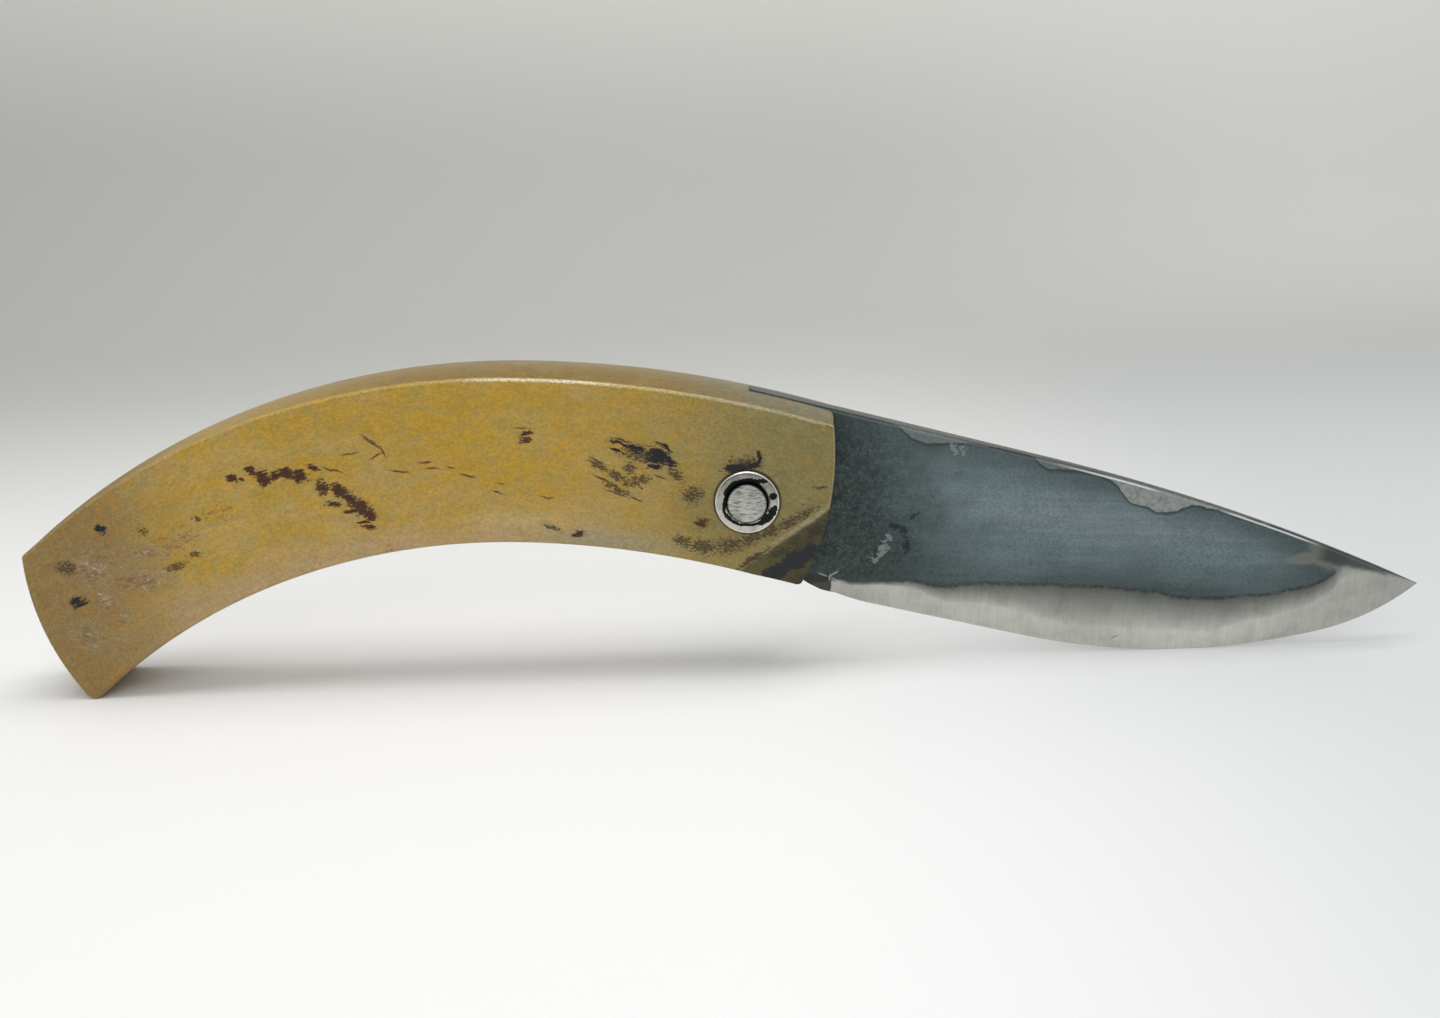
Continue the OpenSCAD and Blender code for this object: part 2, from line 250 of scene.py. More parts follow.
def side_view():
    """The knife's side view worked out from the settings: centres, corners and the standing pose."""
    horn = bpy.context.scene.knife_horn
    blade = bpy.context.scene.knife_blade
    s = SimpleNamespace(horn=horn, blade=blade, half_t=horn.thickness / 2)
    s.back_rear_c = Vector((-horn.bow_x, horn.back_h - horn.back_rear_r))
    s.back_front_c = Vector((-horn.bow_x, horn.back_h - horn.back_front_r))
    s.belly_rear_c = Vector((-horn.bow_x, -horn.belly_h - horn.belly_rear_r))
    s.belly_front_c = Vector((-horn.bow_x, -horn.belly_h - horn.belly_front_r))
    s.front_c = Vector((horn.front_reach - horn.front_r, horn.front_z))
    s.butt_c = Vector((horn.butt_r - horn.butt_reach, -horn.butt_drop))
    r = horn.butt_corner_r
    s.butt_up = meet(s.butt_c, horn.butt_r - r, s.back_rear_c, horn.back_rear_r - r, -1)
    s.butt_low = meet(s.butt_c, horn.butt_r - r, s.belly_rear_c, horn.belly_rear_r + r, -1)
    r = horn.front_corner_r
    s.front_up = meet(s.front_c, horn.front_r - r, s.back_front_c, horn.back_front_r - r, 1)
    s.front_low = meet(s.front_c, horn.front_r - r, s.belly_front_c, horn.belly_front_r + r, 1)
    corner = meet(s.front_c, horn.front_r, s.belly_front_c, horn.belly_front_r, 1)

    edge_slope, spine_slope = math.degrees(blade.edge_slope), math.degrees(blade.spine_slope)
    heel_slope, tip_slope = math.degrees(blade.heel_slope), math.degrees(blade.tip_slope)
    s.heel = corner + Vector((blade.heel_out, -blade.heel_drop))
    s.heel_c = polar(s.heel, blade.heel_r, 90 - heel_slope)
    s.edge_a = polar(s.heel_c, blade.heel_r, -90 - edge_slope)
    s.edge_b = polar(s.edge_a, blade.edge_run, -edge_slope)
    s.edge_belly_c = polar(s.edge_b, blade.edge_belly_r, 90 - edge_slope)
    s.tip_curve = polar(s.edge_belly_c, blade.edge_belly_r, -90 + tip_slope)
    s.tip_c = polar(s.tip_curve, blade.tip_r, 90 + tip_slope)
    back_at_pivot = s.back_front_c.y + math.sqrt(horn.back_front_r ** 2 - horn.bow_x ** 2)
    s.spine_a = Vector((0, back_at_pivot + blade.spine_proud))
    s.spine_b = polar(s.spine_a, blade.spine_run, -spine_slope)
    s.spine_c = polar(s.spine_b, blade.spine_r, -90 - spine_slope)
    s.tip = meet(s.tip_c, blade.tip_r, s.spine_c, blade.spine_r, 1)
    s.grind_x = s.heel.x + blade.ricasso

    apart = (s.edge_belly_c - s.butt_low).length
    s.tilt = math.radians(heading(s.butt_low, s.edge_belly_c)) - math.asin(
        (blade.edge_belly_r - horn.butt_corner_r) / apart)
    s.stand = Matrix.Translation(PIVOT) @ Matrix.Rotation(s.tilt, 4, "Y")
    return s


def edge_z(s, x):
    """Height of the lower outline of the blade at a distance past the pivot."""
    blade = s.blade
    tang_end = polar(Vector((0, 0)), blade.tang_r, TANG_END)
    if x < tang_end.x:
        return -math.sqrt(blade.tang_r ** 2 - x * x)
    if x < s.heel.x:
        return mix(tang_end.y, s.heel.y, (x - tang_end.x) / (s.heel.x - tang_end.x))
    if x < s.edge_a.x:
        return s.heel_c.y - math.sqrt(blade.heel_r ** 2 - (x - s.heel_c.x) ** 2)
    if x < s.edge_b.x:
        return mix(s.edge_a.y, s.edge_b.y, (x - s.edge_a.x) / (s.edge_b.x - s.edge_a.x))
    if x < s.tip_curve.x:
        return s.edge_belly_c.y - math.sqrt(blade.edge_belly_r ** 2 - (x - s.edge_belly_c.x) ** 2)
    return s.tip_c.y - math.sqrt(max(blade.tip_r ** 2 - (x - s.tip_c.x) ** 2, 0))


def spine_z(s, x):
    """Height of the spine at a distance past the pivot."""
    if x < s.spine_b.x:
        return mix(s.spine_a.y, s.spine_b.y, x / s.spine_b.x)
    return s.spine_c.y + math.sqrt(s.blade.spine_r ** 2 - (x - s.spine_c.x) ** 2)


# Mesh helpers -------------------------------------------------------------------------------------------

def mapped_grid(columns, rows, place):
    """A grid of faces whose corners are moved to place(column, row)."""
    bm = bmesh.new()
    bmesh.ops.create_grid(bm, x_segments=columns, y_segments=rows, size=1)
    for v in bm.verts:
        v.co = place(round((v.co.x + 1) / 2 * columns), round((v.co.y + 1) / 2 * rows))
    bmesh.ops.remove_doubles(bm, verts=bm.verts, dist=MERGE)
    return bm


def closed(bm):
    """Fills the open ends of a shell and turns its faces outwards."""
    bmesh.ops.dissolve_degenerate(bm, dist=MERGE, edges=bm.edges)
    bmesh.ops.holes_fill(bm, edges=bm.edges, sides=0)
    bmesh.ops.recalc_face_normals(bm, faces=bm.faces)
    if bm.calc_volume(signed=True) < 0:
        bmesh.ops.reverse_faces(bm, faces=bm.faces)
    return bm


def plate(points, thickness):
    """A plate of a side view outline, centred on the knife's middle plane."""
    bm = bmesh.new()
    corners = [bm.verts.new((p.x, -thickness / 2, p.y)) for p in points]
    face = bm.faces.new(corners)
    made = bmesh.ops.extrude_face_region(bm, geom=[face])
    moved = [v for v in made["geom"] if isinstance(v, bmesh.types.BMVert)]
    bmesh.ops.translate(bm, verts=moved, vec=(0, thickness, 0))
    bmesh.ops.recalc_face_normals(bm, faces=bm.faces)
    return bm


def across(radius, y0, y1, steps=96):
    """A cylinder across the knife on the pivot's axis."""
    bm = bmesh.new()
    bmesh.ops.create_cone(bm, cap_ends=True, segments=steps, radius1=radius, radius2=radius, depth=y1 - y0)
    bmesh.ops.rotate(bm, verts=bm.verts, matrix=Matrix.Rotation(math.radians(90), 3, "X"))
    bmesh.ops.translate(bm, verts=bm.verts, vec=(0, (y0 + y1) / 2, 0))
    bmesh.ops.recalc_face_normals(bm, faces=bm.faces)
    return bm


def turned_profile(points, loop, steps=128):
    """A profile of (radius, y) points spun round the pivot's axis, with its rim points as given."""
    bm = bmesh.new()
    verts = [bm.verts.new((r, y, 0)) for r, y in points]
    ends = verts[1:] + verts[:1] if loop else verts[1:]
    edges = [bm.edges.new(pair) for pair in zip(verts, ends)]
    bmesh.ops.spin(bm, geom=verts + edges, cent=(0, 0, 0), axis=(0, 1, 0), dvec=(0, 0, 0),
                   angle=math.radians(360), steps=steps, use_merge=True)
    bmesh.ops.remove_doubles(bm, verts=bm.verts, dist=MERGE)
    bmesh.ops.recalc_face_normals(bm, faces=bm.faces)
    return bm


def as_object(bm, name):
    """An object of a bmesh, which is freed."""
    mesh = bpy.data.meshes.new(name)
    bm.to_mesh(mesh)
    bm.free()
    obj = bpy.data.objects.new(name, mesh)
    bpy.context.scene.collection.objects.link(obj)
    return obj


def carved(bm, operation, tools):
    """A bmesh after Boolean modifiers with the tools, all of which are freed."""
    body = as_object(bm, "work")
    cutters = [as_object(tool, "tool") for tool in tools]
    for cutter in cutters:
        step = body.modifiers.new("carve", "BOOLEAN")
        step.operation = operation
        step.solver = "EXACT"
        step.object = cutter
    result = bmesh.new()
    result.from_object(body, bpy.context.evaluated_depsgraph_get())
    for obj in [body, *cutters]:
        mesh = obj.data
        bpy.data.objects.remove(obj)
        bpy.data.meshes.remove(mesh)
    return result


def finished(bm, name, material, body, node, crease):
    """The finished piece: shaded smooth up to the crease angle, riding on a body and standing for a node."""
    bmesh.ops.transform(bm, matrix=side_view().stand, verts=bm.verts)
    obj = as_object(bm, name)
    obj.data.shade_smooth()
    obj.data.set_sharp_from_angle(angle=math.radians(crease))
    weigh = obj.modifiers.new("even normals", "WEIGHTED_NORMAL")
    weigh.keep_sharp = True
    weigh.weight = 80
    obj.data.materials.append(material)
    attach(obj, body)
    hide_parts(node)
    return obj


# Shader helpers -----------------------------------------------------------------------------------------

class Paint:
    """Adds nodes to one material. Lengths in it are millimetres about the pivot."""

    def __init__(self, name):
        self.material = bpy.data.materials.new(name)
        self.material.use_nodes = True
        self.tree = self.material.node_tree
        self.tree.nodes.clear()
        self.output = self.tree.nodes.new("ShaderNodeOutputMaterial")
        self.shader = self.tree.nodes.new("ShaderNodeBsdfPrincipled")
        self.tree.links.new(self.shader.outputs[0], self.output.inputs["Surface"])
        self.place = self.pivot_place()

    def put(self, socket, value):
        """Wires a socket, or sets it where the value is a constant."""
        if isinstance(value, bpy.types.NodeSocket):
            self.tree.links.new(value, socket)
        elif socket.type == "RGBA":
            socket.default_value = (*value, 1)
        else:
            socket.default_value = value

    def node(self, kind, inputs=(), **settings):
        """A node with some of its settings, and its inputs given by index or by name."""
        made = self.tree.nodes.new("ShaderNode" + kind)
        for key, value in settings.items():
            setattr(made, key, value)
        for key, value in dict(inputs).items():
            self.put(made.inputs[key], value)
        return made

    def pivot_place(self):
        """Millimetres about the pivot in the side view, from the object's own coordinates."""
        tilt = side_view().tilt
        unturned = Matrix.Rotation(-tilt, 3, "Y") @ (-PIVOT / MM)
        mapping = self.node("Mapping", {"Vector": self.node("TexCoord").outputs["Object"], "Location": unturned,
                                        "Rotation": (0, -tilt, 0), "Scale": (1 / MM,) * 3})
        return mapping.outputs[0]

    # Values

    def math(self, operation, a, b=0.0, c=0.0):
        """One step of arithmetic."""
        return self.node("Math", {0: a, 1: b, 2: c}, operation=operation).outputs[0]

    def times(self, first, *others):
        """The product of masks and numbers."""
        for other in others:
            first = self.math("MULTIPLY", first, other)
        return first

    def most(self, first, *others):
        """The greatest of several masks."""
        for other in others:
            first = self.math("MAXIMUM", first, other)
        return first

    def inverse(self, mask):
        """1 where the mask is 0, and 0 where it is 1."""
        return self.math("SUBTRACT", 1.0, mask)

    def plus(self, base, value, scale):
        """A value with another one, scaled, added to it."""
        return self.math("MULTIPLY_ADD", value, scale, base)

    def stirred(self, base, texture, swing):
        """A value that a texture pushes up and down by its swing."""
        return self.plus(base, self.math("SUBTRACT", texture, 0.5), swing)

    def ramp(self, value, low, high, start=0.0, end=1.0):
        """An S curve from start to end as the value goes from low to high."""
        inputs = {"Value": value, "From Min": low, "From Max": high, "To Min": start, "To Max": end}
        return self.node("MapRange", inputs, interpolation_type="SMOOTHSTEP").outputs[0]

    def curve(self, value, span, points, bottom, top):
        """A value read off a smooth curve through given (x, y) points."""
        low, high = span
        along = self.node("MapRange", {"Value": value, "From Min": low, "From Max": high})
        made = self.node("FloatCurve", {"Value": along.outputs[0]})
        line = made.mapping.curves[0]
        places = [((x - low) / (high - low), (y - bottom) / (top - bottom)) for x, y in points]
        while len(line.points) < len(places):
            line.points.new(0.5, 0.5)
        for point, place in zip(line.points, places):
            point.location = place
        made.mapping.update()
        return self.math("MULTIPLY_ADD", made.outputs[0], top - bottom, bottom)

    # Places and textures

    def split(self, vector):
        """The three parts of a vector."""
        return self.node("SeparateXYZ", {0: vector}).outputs

    def vector(self, operation, a, b=(0, 0, 0), c=(0, 0, 0)):
        """One step of vector arithmetic."""
        return self.node("VectorMath", {0: a, 1: b, 2: c}, operation=operation).outputs[0]

    def reach(self, vector):
        """The length of a vector."""
        return self.node("VectorMath", {0: vector}, operation="LENGTH").outputs["Value"]

    def from_pin(self):
        """The distance from the pivot's axis."""
        return self.reach(self.vector("MULTIPLY", self.place, (1, 0, 1)))

    def grain(self, vector, scale, detail=4.0, rough=0.55, warp=0.0):
        """Noise from 0 to 1 with its own scale along each axis, in cycles per millimetre."""
        stretched = self.vector("MULTIPLY", vector, scale)
        return self.node("TexNoise", {"Vector": stretched, "Scale": 1.0, "Detail": detail,
                                      "Roughness": rough, "Distortion": warp}).outputs["Fac"]

    def wander(self, vector, scale, reach):
        """A vector pushed about by noise, so that shapes drawn on it turn irregular."""
        push = self.node("TexNoise", {"Vector": vector, "Scale": scale, "Detail": 2.0}).outputs["Color"]
        return self.vector("MULTIPLY_ADD", self.vector("SUBTRACT", push, (0.5,) * 3), (reach,) * 3, vector)

    def marks(self, vector, places, soft=1.0):
        """1 in the middle and 0 past the edge of ellipses in the side view, each of which rises by its angle."""
        x, _, z = self.split(vector)
        least = None
        for cx, cz, long, high, degrees in places:
            c, d = math.cos(math.radians(degrees)), math.sin(math.radians(degrees))
            along = self.math("MULTIPLY_ADD", x, c / long, -(cx * c + cz * d) / long)
            along = self.math("MULTIPLY_ADD", z, d / long, along)
            over = self.math("MULTIPLY_ADD", x, -d / high, (cx * d - cz * c) / high)
            over = self.math("MULTIPLY_ADD", z, c / high, over)
            reach = self.math("MULTIPLY_ADD", along, along, self.math("MULTIPLY", over, over))
            least = reach if least is None else self.math("MINIMUM", least, reach)
        return self.ramp(self.math("SQRT", least), 1.0, 1.0 - soft)

    def ragged(self, mask, texture, least, gain, soft=0.05):
        """A mask broken up by a texture: nearly whole in the middle, thinning out into flecks at its edge."""
        raised = self.plus(texture, mask, gain)
        broken = self.ramp(raised, least + gain - soft / 2, least + gain + soft / 2)
        return self.times(broken, self.ramp(mask, 0.0, 0.12))

    # Colours and the surface

    def blend(self, factor, a, b, how="MIX"):
        """Colour a blended with colour b."""
        made = self.node("Mix", data_type="RGBA", blend_type=how)
        for socket, value in ((0, factor), (6, a), (7, b)):
            self.put(made.inputs[socket], value)
        return made.outputs[2]

    def coats(self, colour, *rows):
        """A colour under a row of coats. Each is a tone and its masks, and shows as far as all of them let it."""
        for tone, *masks in rows:
            colour = self.blend(self.times(*masks), colour, tone)
        return colour

    def shaded(self, colour, *tints):
        """A colour multiplied by other colours."""
        for tint in tints:
            colour = self.blend(1.0, colour, tint, "MULTIPLY")
        return colour

    def grey(self, value):
        """A grey of one value as a colour."""
        return self.node("CombineColor", {0: value, 1: value, 2: value}).outputs[0]

    def bump(self, height, millimetres, strength=1.0, under=None):
        """A bump with its full height in millimetres."""
        inputs = {"Height": height, "Distance": millimetres * MM, "Strength": strength}
        if under:
            inputs["Normal"] = under
        return self.node("Bump", inputs).outputs[0]

    def surface(self, **values):
        """Sets the shader's sockets, with underscores for spaces."""
        for key, value in values.items():
            self.put(self.shader.inputs[key.replace("_", " ")], value)
        return self.material


# Materials ----------------------------------------------------------------------------------------------

# Natural marks in the horn: place along and above the pivot, half length and half height in mm, and rise in degrees
BROWN_MARKS = (
    (-78, 2.5, 1.5, 0.9, -35), (-76.6, 2.2, 0.9, 0.5, 0), (-74.8, 3.5, 2.4, 1.3, -30), (-73, 2.5, 2.6, 2, -25),
    (-71.2, 3.1, 1.8, 1.1, 0), (-69.6, 3.2, 2.4, 1.4, 10), (-67.7, 2.9, 2.7, 1.7, -8), (-63.9, 1.3, 2.1, 2, -45),
    (-61.7, 0.7, 3.3, 1.7, -22), (-60, -0.6, 2.3, 1.5, -20), (-58.4, -1.9, 3.5, 2.3, -28),
    (-57.2, -3, 2.4, 1.5, -10), (-62.7, -1.4, 2.2, 0.9, 0), (-60, -2.5, 2.4, 0.8, 0), (-57.4, -4.9, 1.9, 0.8, -5),
    (-58.2, -4.2, 1.8, 0.5, 0), (-32.9, 9, 1.8, 1, 0), (-33, 9.9, 2, 0.6, 0), (-25.5, -5.5, 1.6, 1.1, 0),
    (-6.8, -3.4, 1.7, 1.6, 0), (-65.2, 4.3, 2.2, 0.7, -20),
)
BLACK_MARKS = (
    (-13.5, 6.8, 3.5, 2.3, -12), (-16.4, 7.8, 3, 0.9, -18), (-18.6, 8.6, 3, 0.4, -16), (-19.4, 7.6, 2.4, 0.4, -20),
    (-11.6, 6, 2.3, 1.3, -35), (-12.2, 8.3, 2.6, 0.4, -38), (-13.8, 5.1, 2, 0.8, -10), (-1.4, 5.1, 3.7, 1.3, 8),
    (0.8, 5.6, 2.3, 0.8, 20), (1.8, 6.9, 0.6, 2, 0), (-104.6, -18.2, 2.6, 1.6, 20), (-99.2, -6.2, 1.5, 1.2, 0),
)
CORNER_MARKS = ((4.4, -11.3, 3.4, 2, 25), (7.2, -9.4, 3.6, 2.3, 32), (9.2, -8, 2.6, 1.5, 42))
SPECKLED_MARKS = (
    (-22, 5.2, 3.4, 0.9, -28), (-19.4, 3.8, 3.2, 1.3, -32), (-17.2, 2.6, 2.8, 1.2, -12), (-19.4, 1.6, 4.2, 1, -22),
    (-9.8, -6.4, 2.4, 1.6, -30), (-6.4, -7.3, 4.2, 1.8, -8), (-2.6, -6.9, 4, 2, 5), (0.8, -5.7, 3.6, 1.7, 25),
    (3.4, -4.6, 3.4, 1.4, 30), (6.4, -3, 3.6, 1.3, 36), (0.8, -9, 5, 0.9, 37), (9, -1.5, 2.8, 1, 35),
    (11, 2.4, 1.6, 0.7, 0), (-8.2, 1, 2.6, 2.4, 0), (-29.4, -4.5, 2.6, 0.6, -12), (-84, -4.2, 1.3, 0.9, 0),
    (-92.6, -6.4, 1.3, 0.9, 0), (-85.2, -9.8, 2, 0.9, 0), (-88.2, -12, 3.2, 1.1, 20), (-105.4, -12.6, 3, 1.8, 0),
    (-17.4, 5, 1.7, 1.7, 0), (-15.9, 3.2, 2.6, 1.5, 0), (-15.6, 7, 5.6, 2.6, -14), (-0.6, 5.6, 4.4, 2.2, 12),
    (10.4, -4.4, 2.6, 1.2, 38), (-10.6, 4, 2.6, 1.4, -40), (4.6, -8.2, 3, 1.2, 36),
)
HAIRLINES = (
    (-62.4, 4, 2.6, 0.27, -16), (-55.9, 8.1, 2.7, 0.27, -33), (-56.6, 8.9, 2, 0.2025, -33),
    (-54.4, 6.9, 1.3, 0.27, -60), (-55.5, 6.2, 1.8, 0.243, 24), (-59.6, 6.5, 1.9, 0.216, 14),
    (-52.2, 3.9, 2.4, 0.27, -8), (-48.2, 5.3, 1.7, 0.2295, 5), (-47, 4.5, 1.6, 0.2295, -2),
    (-41.8, 3.4, 1.9, 0.2295, -12), (-37.4, 0.8, 1.7, 0.2025, -18), (-29.9, 0.2, 1.6, 0.216, -8),
    (-36.8, 2.2, 1, 0.189, -10), (-33.4, 10.8, 1.6, 0.2025, -4), (-32.6, 10.1, 1.3, 0.189, -4),
    (-44.2, 4.6, 1.1, 0.1755, -10), (-19.6, 1, 2.8, 0.216, -22), (-21.6, 3.2, 2.6, 0.216, -24),
    (-22.2, 6, 2.2, 0.216, -26), (-18.6, 9.2, 2.4, 0.243, -18), (-12.6, 8.3, 2, 0.216, -34),
    (-16.6, 0.2, 1.6, 0.2025, -24), (-13, 3.6, 1.6, 0.189, -24), (2, -8.2, 4.6, 0.27, 36),
)
CHALK_MARKS = (
    (-101.5, -12.6, 6.4, 5.4, 20), (-93.5, -9.8, 5.6, 2.3, 0), (-93.5, -14.4, 7, 3.2, 10),
    (-97.4, -20.4, 2.2, 2.6, 0), (-103.6, -23.8, 4.2, 4.6, 25), (-99.8, -17.6, 3.4, 2.6, 0),
)
RED_FIELDS = ((-88, -7.5, 11, 6, 28), (-95.5, -14.5, 9, 5, 10), (-80, -3, 7, 4, 20))

# Broad fields in the horn, placed in the same way
GOLD_FIELD = ((-42, 9, 38, 12, -2),)
PALE_FIELD = ((-34, -3.5, 17, 2.6, 0),)
GREY_FIELD = ((-20, -6.6, 17, 3.4, -6),)
# The next field marks the painted shade round the washer
HOLLOW_FIELD = ((-1.5, -1.5, 13, 9, 15),)

# Tones in the horn besides those that the user sets
HORN = SimpleNamespace(
    pale=(0.52, 0.385, 0.185), grey=(0.28, 0.262, 0.168), front_crown=(0.15, 0.13, 0.085),
    # The first tone on the next line is a painted highlight, the glint along the back's ridge
    ridge_glint=(0.85, 0.8, 0.68), dull=(0.29, 0.25, 0.09), orange=(0.46, 0.26, 0.03),
    grain_low=(0.76, 0.82, 0.92), grain_high=(1.19, 1.14, 1.08),
    # The facet's tones on the next line are partly a dark stain and partly painted shade
    facet_low=(0.014, 0.013, 0.004), facet_high=(0.043, 0.038, 0.008), facet_rear=(0.075, 0.068, 0.015),
    # On the next line: painted shade round the washer, then a painted shadow in the gap round the washer's seat
    hollow=(0.115, 0.1, 0.05), seat_shadow=(0.03, 0.022, 0.012), halo=(0.16, 0.1, 0.045),
    # The last tone on the next line is painted shade beside the chalky crust
    butt_fleck=(0.1, 0.06, 0.025), chalk_ground=(0.33, 0.235, 0.12), pit_shade=(0.1, 0.055, 0.025),
    red_dot=(0.17, 0.06, 0.025), speckle=(0.036, 0.022, 0.013), hairline=(0.085, 0.03, 0.008),
    brown_high=(0.13, 0.04, 0.008), black_high=(0.04, 0.026, 0.022),
    # The last tone on the next line is a painted highlight along the facet's ridge
    corner_low=(0.009, 0.01, 0.014), corner_high=(0.03, 0.03, 0.035), facet_ridge_highlight=(0.33, 0.29, 0.18),
)

# In mm: the way from the middle of the curve that the horn's fibres follow to the pivot, that curve's radius, and
# how far past the pivot the facet's ridge ends
FIBRE_OFFSET = (34.5, 0, 120)
FIBRE_RADIUS = 125
FACET_END_X = 12.3


def fibre_place(p):
    """Horn's own coordinates: along its curved fibres, across, and out from the middle of the bow."""
    x, y, z = p.split(p.vector("ADD", p.place, FIBRE_OFFSET))
    along = p.times(p.math("ARCTAN2", x, z), FIBRE_RADIUS)
    out = p.math("SQRT", p.math("ADD", p.times(x, x), p.times(z, z)))
    return p.node("CombineXYZ", {0: along, 1: y, 2: out}).outputs[0]


def horn_material():
    """Polished blond horn: gold at the bow, olive at the ends, pinkish at the belly, with natural marks."""
    tones = bpy.context.scene.knife_finish
    p = Paint("waxed blond horn")
    fibres = fibre_place(p)
    x, y, z = p.split(p.place)
    out = p.split(fibres)[2]
    aside = p.math("ABSOLUTE", y)
    near = p.ramp(y, 0.5, -0.5)

    drift = p.grain(fibres, (0.035, 0.08, 0.07), 3)
    cloud = p.grain(fibres, (0.13, 0.2, 0.22), 5, 0.65)
    mottle = p.grain(fibres, (0.42, 0.5, 0.6), 5, 0.7)
    thread = p.grain(fibres, (0.3, 1.0, 1.3), 4, 0.6)
    speck = p.grain(fibres, (2.4, 3.0, 3.6), 4, 0.7)
    streaks = p.grain(fibres, (0.5, 1.2, 2.4), 4, 0.6)
    crumbs = p.grain(fibres, (1.6, 2.6, 3.8), 6, 0.75)
    chips = p.grain(p.place, (1.1, 1.3, 1.9), 6, 0.75, 0.9)
    broken = p.plus(p.times(streaks, 0.4), crumbs, 0.6)

    # Broad colour, then a painted highlight: a pale glint line along the middle of the back's ridge
    along = p.stirred(x, drift, 24)
    low = p.stirred(out, cloud, 6)
    crown = p.blend(p.ramp(x, -18, 4), tones.horn_crown, HORN.front_crown)
    # Painted highlight: a glint line on the rounded edge between the side and the back
    ridge = p.times(p.ramp(aside, 6.49, 6.42), p.ramp(aside, 6.08, 6.22), p.ramp(out, 121, 123))
    glint_strength = p.times(p.ramp(x, -43, -38, 0.12, 1.0), p.ramp(x, -27, -16, 0.75, 0.2),
                     p.ramp(speck, 0.35, 0.6, 0.4, 1.0))
    colour = p.coats(
        p.blend(p.ramp(cloud, 0.36, 0.64), tones.horn, tones.horn_gold),
        (tones.horn_gold, p.marks(p.place, GOLD_FIELD), p.ramp(cloud, 0.3, 0.6, 0.3, 0.95)),
        (tones.horn_mauve, p.ramp(low, 119.5, 112.5), p.ramp(x, -4, -30), 0.9),
        (HORN.pale, p.marks(p.place, PALE_FIELD), 0.5),
        (tones.horn_front, p.ramp(along, -30, 8)),
        (HORN.grey, p.marks(p.place, GREY_FIELD), 0.75),
        (tones.horn_butt, p.ramp(along, -80, -104)),
        # The back is painted browner and darker: partly the horn's own tone, partly painted shade on its top
        (crown, p.ramp(aside, 6.35, 5.7), p.ramp(out, 124, 128), p.ramp(x, -85, -45, 0.3, 0.85)),
        (HORN.ridge_glint, ridge, glint_strength),
        (HORN.dull, p.ramp(mottle, 0.36, 0.6, 0.4, 0.0)),
        (HORN.orange, p.ramp(mottle, 0.5, 0.72, 0.0, 0.35)),
    )
    colour = p.shaded(colour, p.grey(p.ramp(thread, 0.28, 0.72, 0.95, 1.05)),
                      p.blend(p.ramp(speck, 0.32, 0.68), HORN.grain_low, HORN.grain_high))

    # The facet at the lower front corner, painted darker: partly a dark stain, partly painted shade where it leans
    # down. Then painted shade round the washer, and a painted shadow in the gap round the washer's seat
    horn = bpy.context.scene.knife_horn
    sine, cosine = math.sin(horn.facet_slope), math.cos(horn.facet_slope)
    under = p.math("MULTIPLY_ADD", x, sine, -horn.facet_drop / MM * cosine - FACET_END_X * sine)
    under = p.plus(under, z, -cosine)
    facet = p.coats(p.blend(p.ramp(mottle, 0.36, 0.62), HORN.facet_low, HORN.facet_high),
                    (HORN.facet_rear, p.ramp(x, 7.5, 3.0, 0.0, 0.85)))
    colour = p.coats(
        colour,
        (facet, p.ramp(p.stirred(under, mottle, 1.2), 0.1, 0.8), 0.92),
        (HORN.hollow, p.marks(p.place, HOLLOW_FIELD), near, p.ramp(cloud, 0.3, 0.6), 0.47),
        (HORN.seat_shadow, p.ramp(p.from_pin(), 5.25, 5.0, 0.0, 0.8)),
    )

    # Natural marks, with painted shade beside the chalky crust and a painted highlight along the facet's ridge
    loose = p.wander(p.place, 0.6, 1.3)
    tight = p.wander(p.place, 0.8, 0.7)
    brown_field, black_field, corner_field, speckled_field, chalk_field = (
        p.times(p.marks(loose, places), near)
        for places in (BROWN_MARKS, BLACK_MARKS, CORNER_MARKS, SPECKLED_MARKS, CHALK_MARKS))
    stray_field = p.times(p.ramp(p.grain(fibres, (0.06, 0.2, 0.12), 2), 0.58, 0.72), p.ramp(y, -2.0, 2.0, 0.35, 1.0))
    brown = p.ragged(brown_field, broken, 0.38, 0.23)
    black = p.ragged(black_field, broken, 0.38, 0.23)
    corner = p.ragged(corner_field, broken, 0.22, 0.4)
    speckled = p.ragged(speckled_field, crumbs, 0.43, 0.18)
    chalk = p.ragged(chalk_field, chips, 0.53, 0.08)
    # Painted shade: dark flecks beside the chalky crust, where its rough relief would cast shade
    pit_shading = p.ragged(chalk_field, p.inverse(chips), 0.53, 0.08)
    dots = p.ragged(p.marks(p.place, RED_FIELDS), broken, 0.52, 0.16)
    stray = p.ragged(stray_field, broken, 0.46, 0.2)
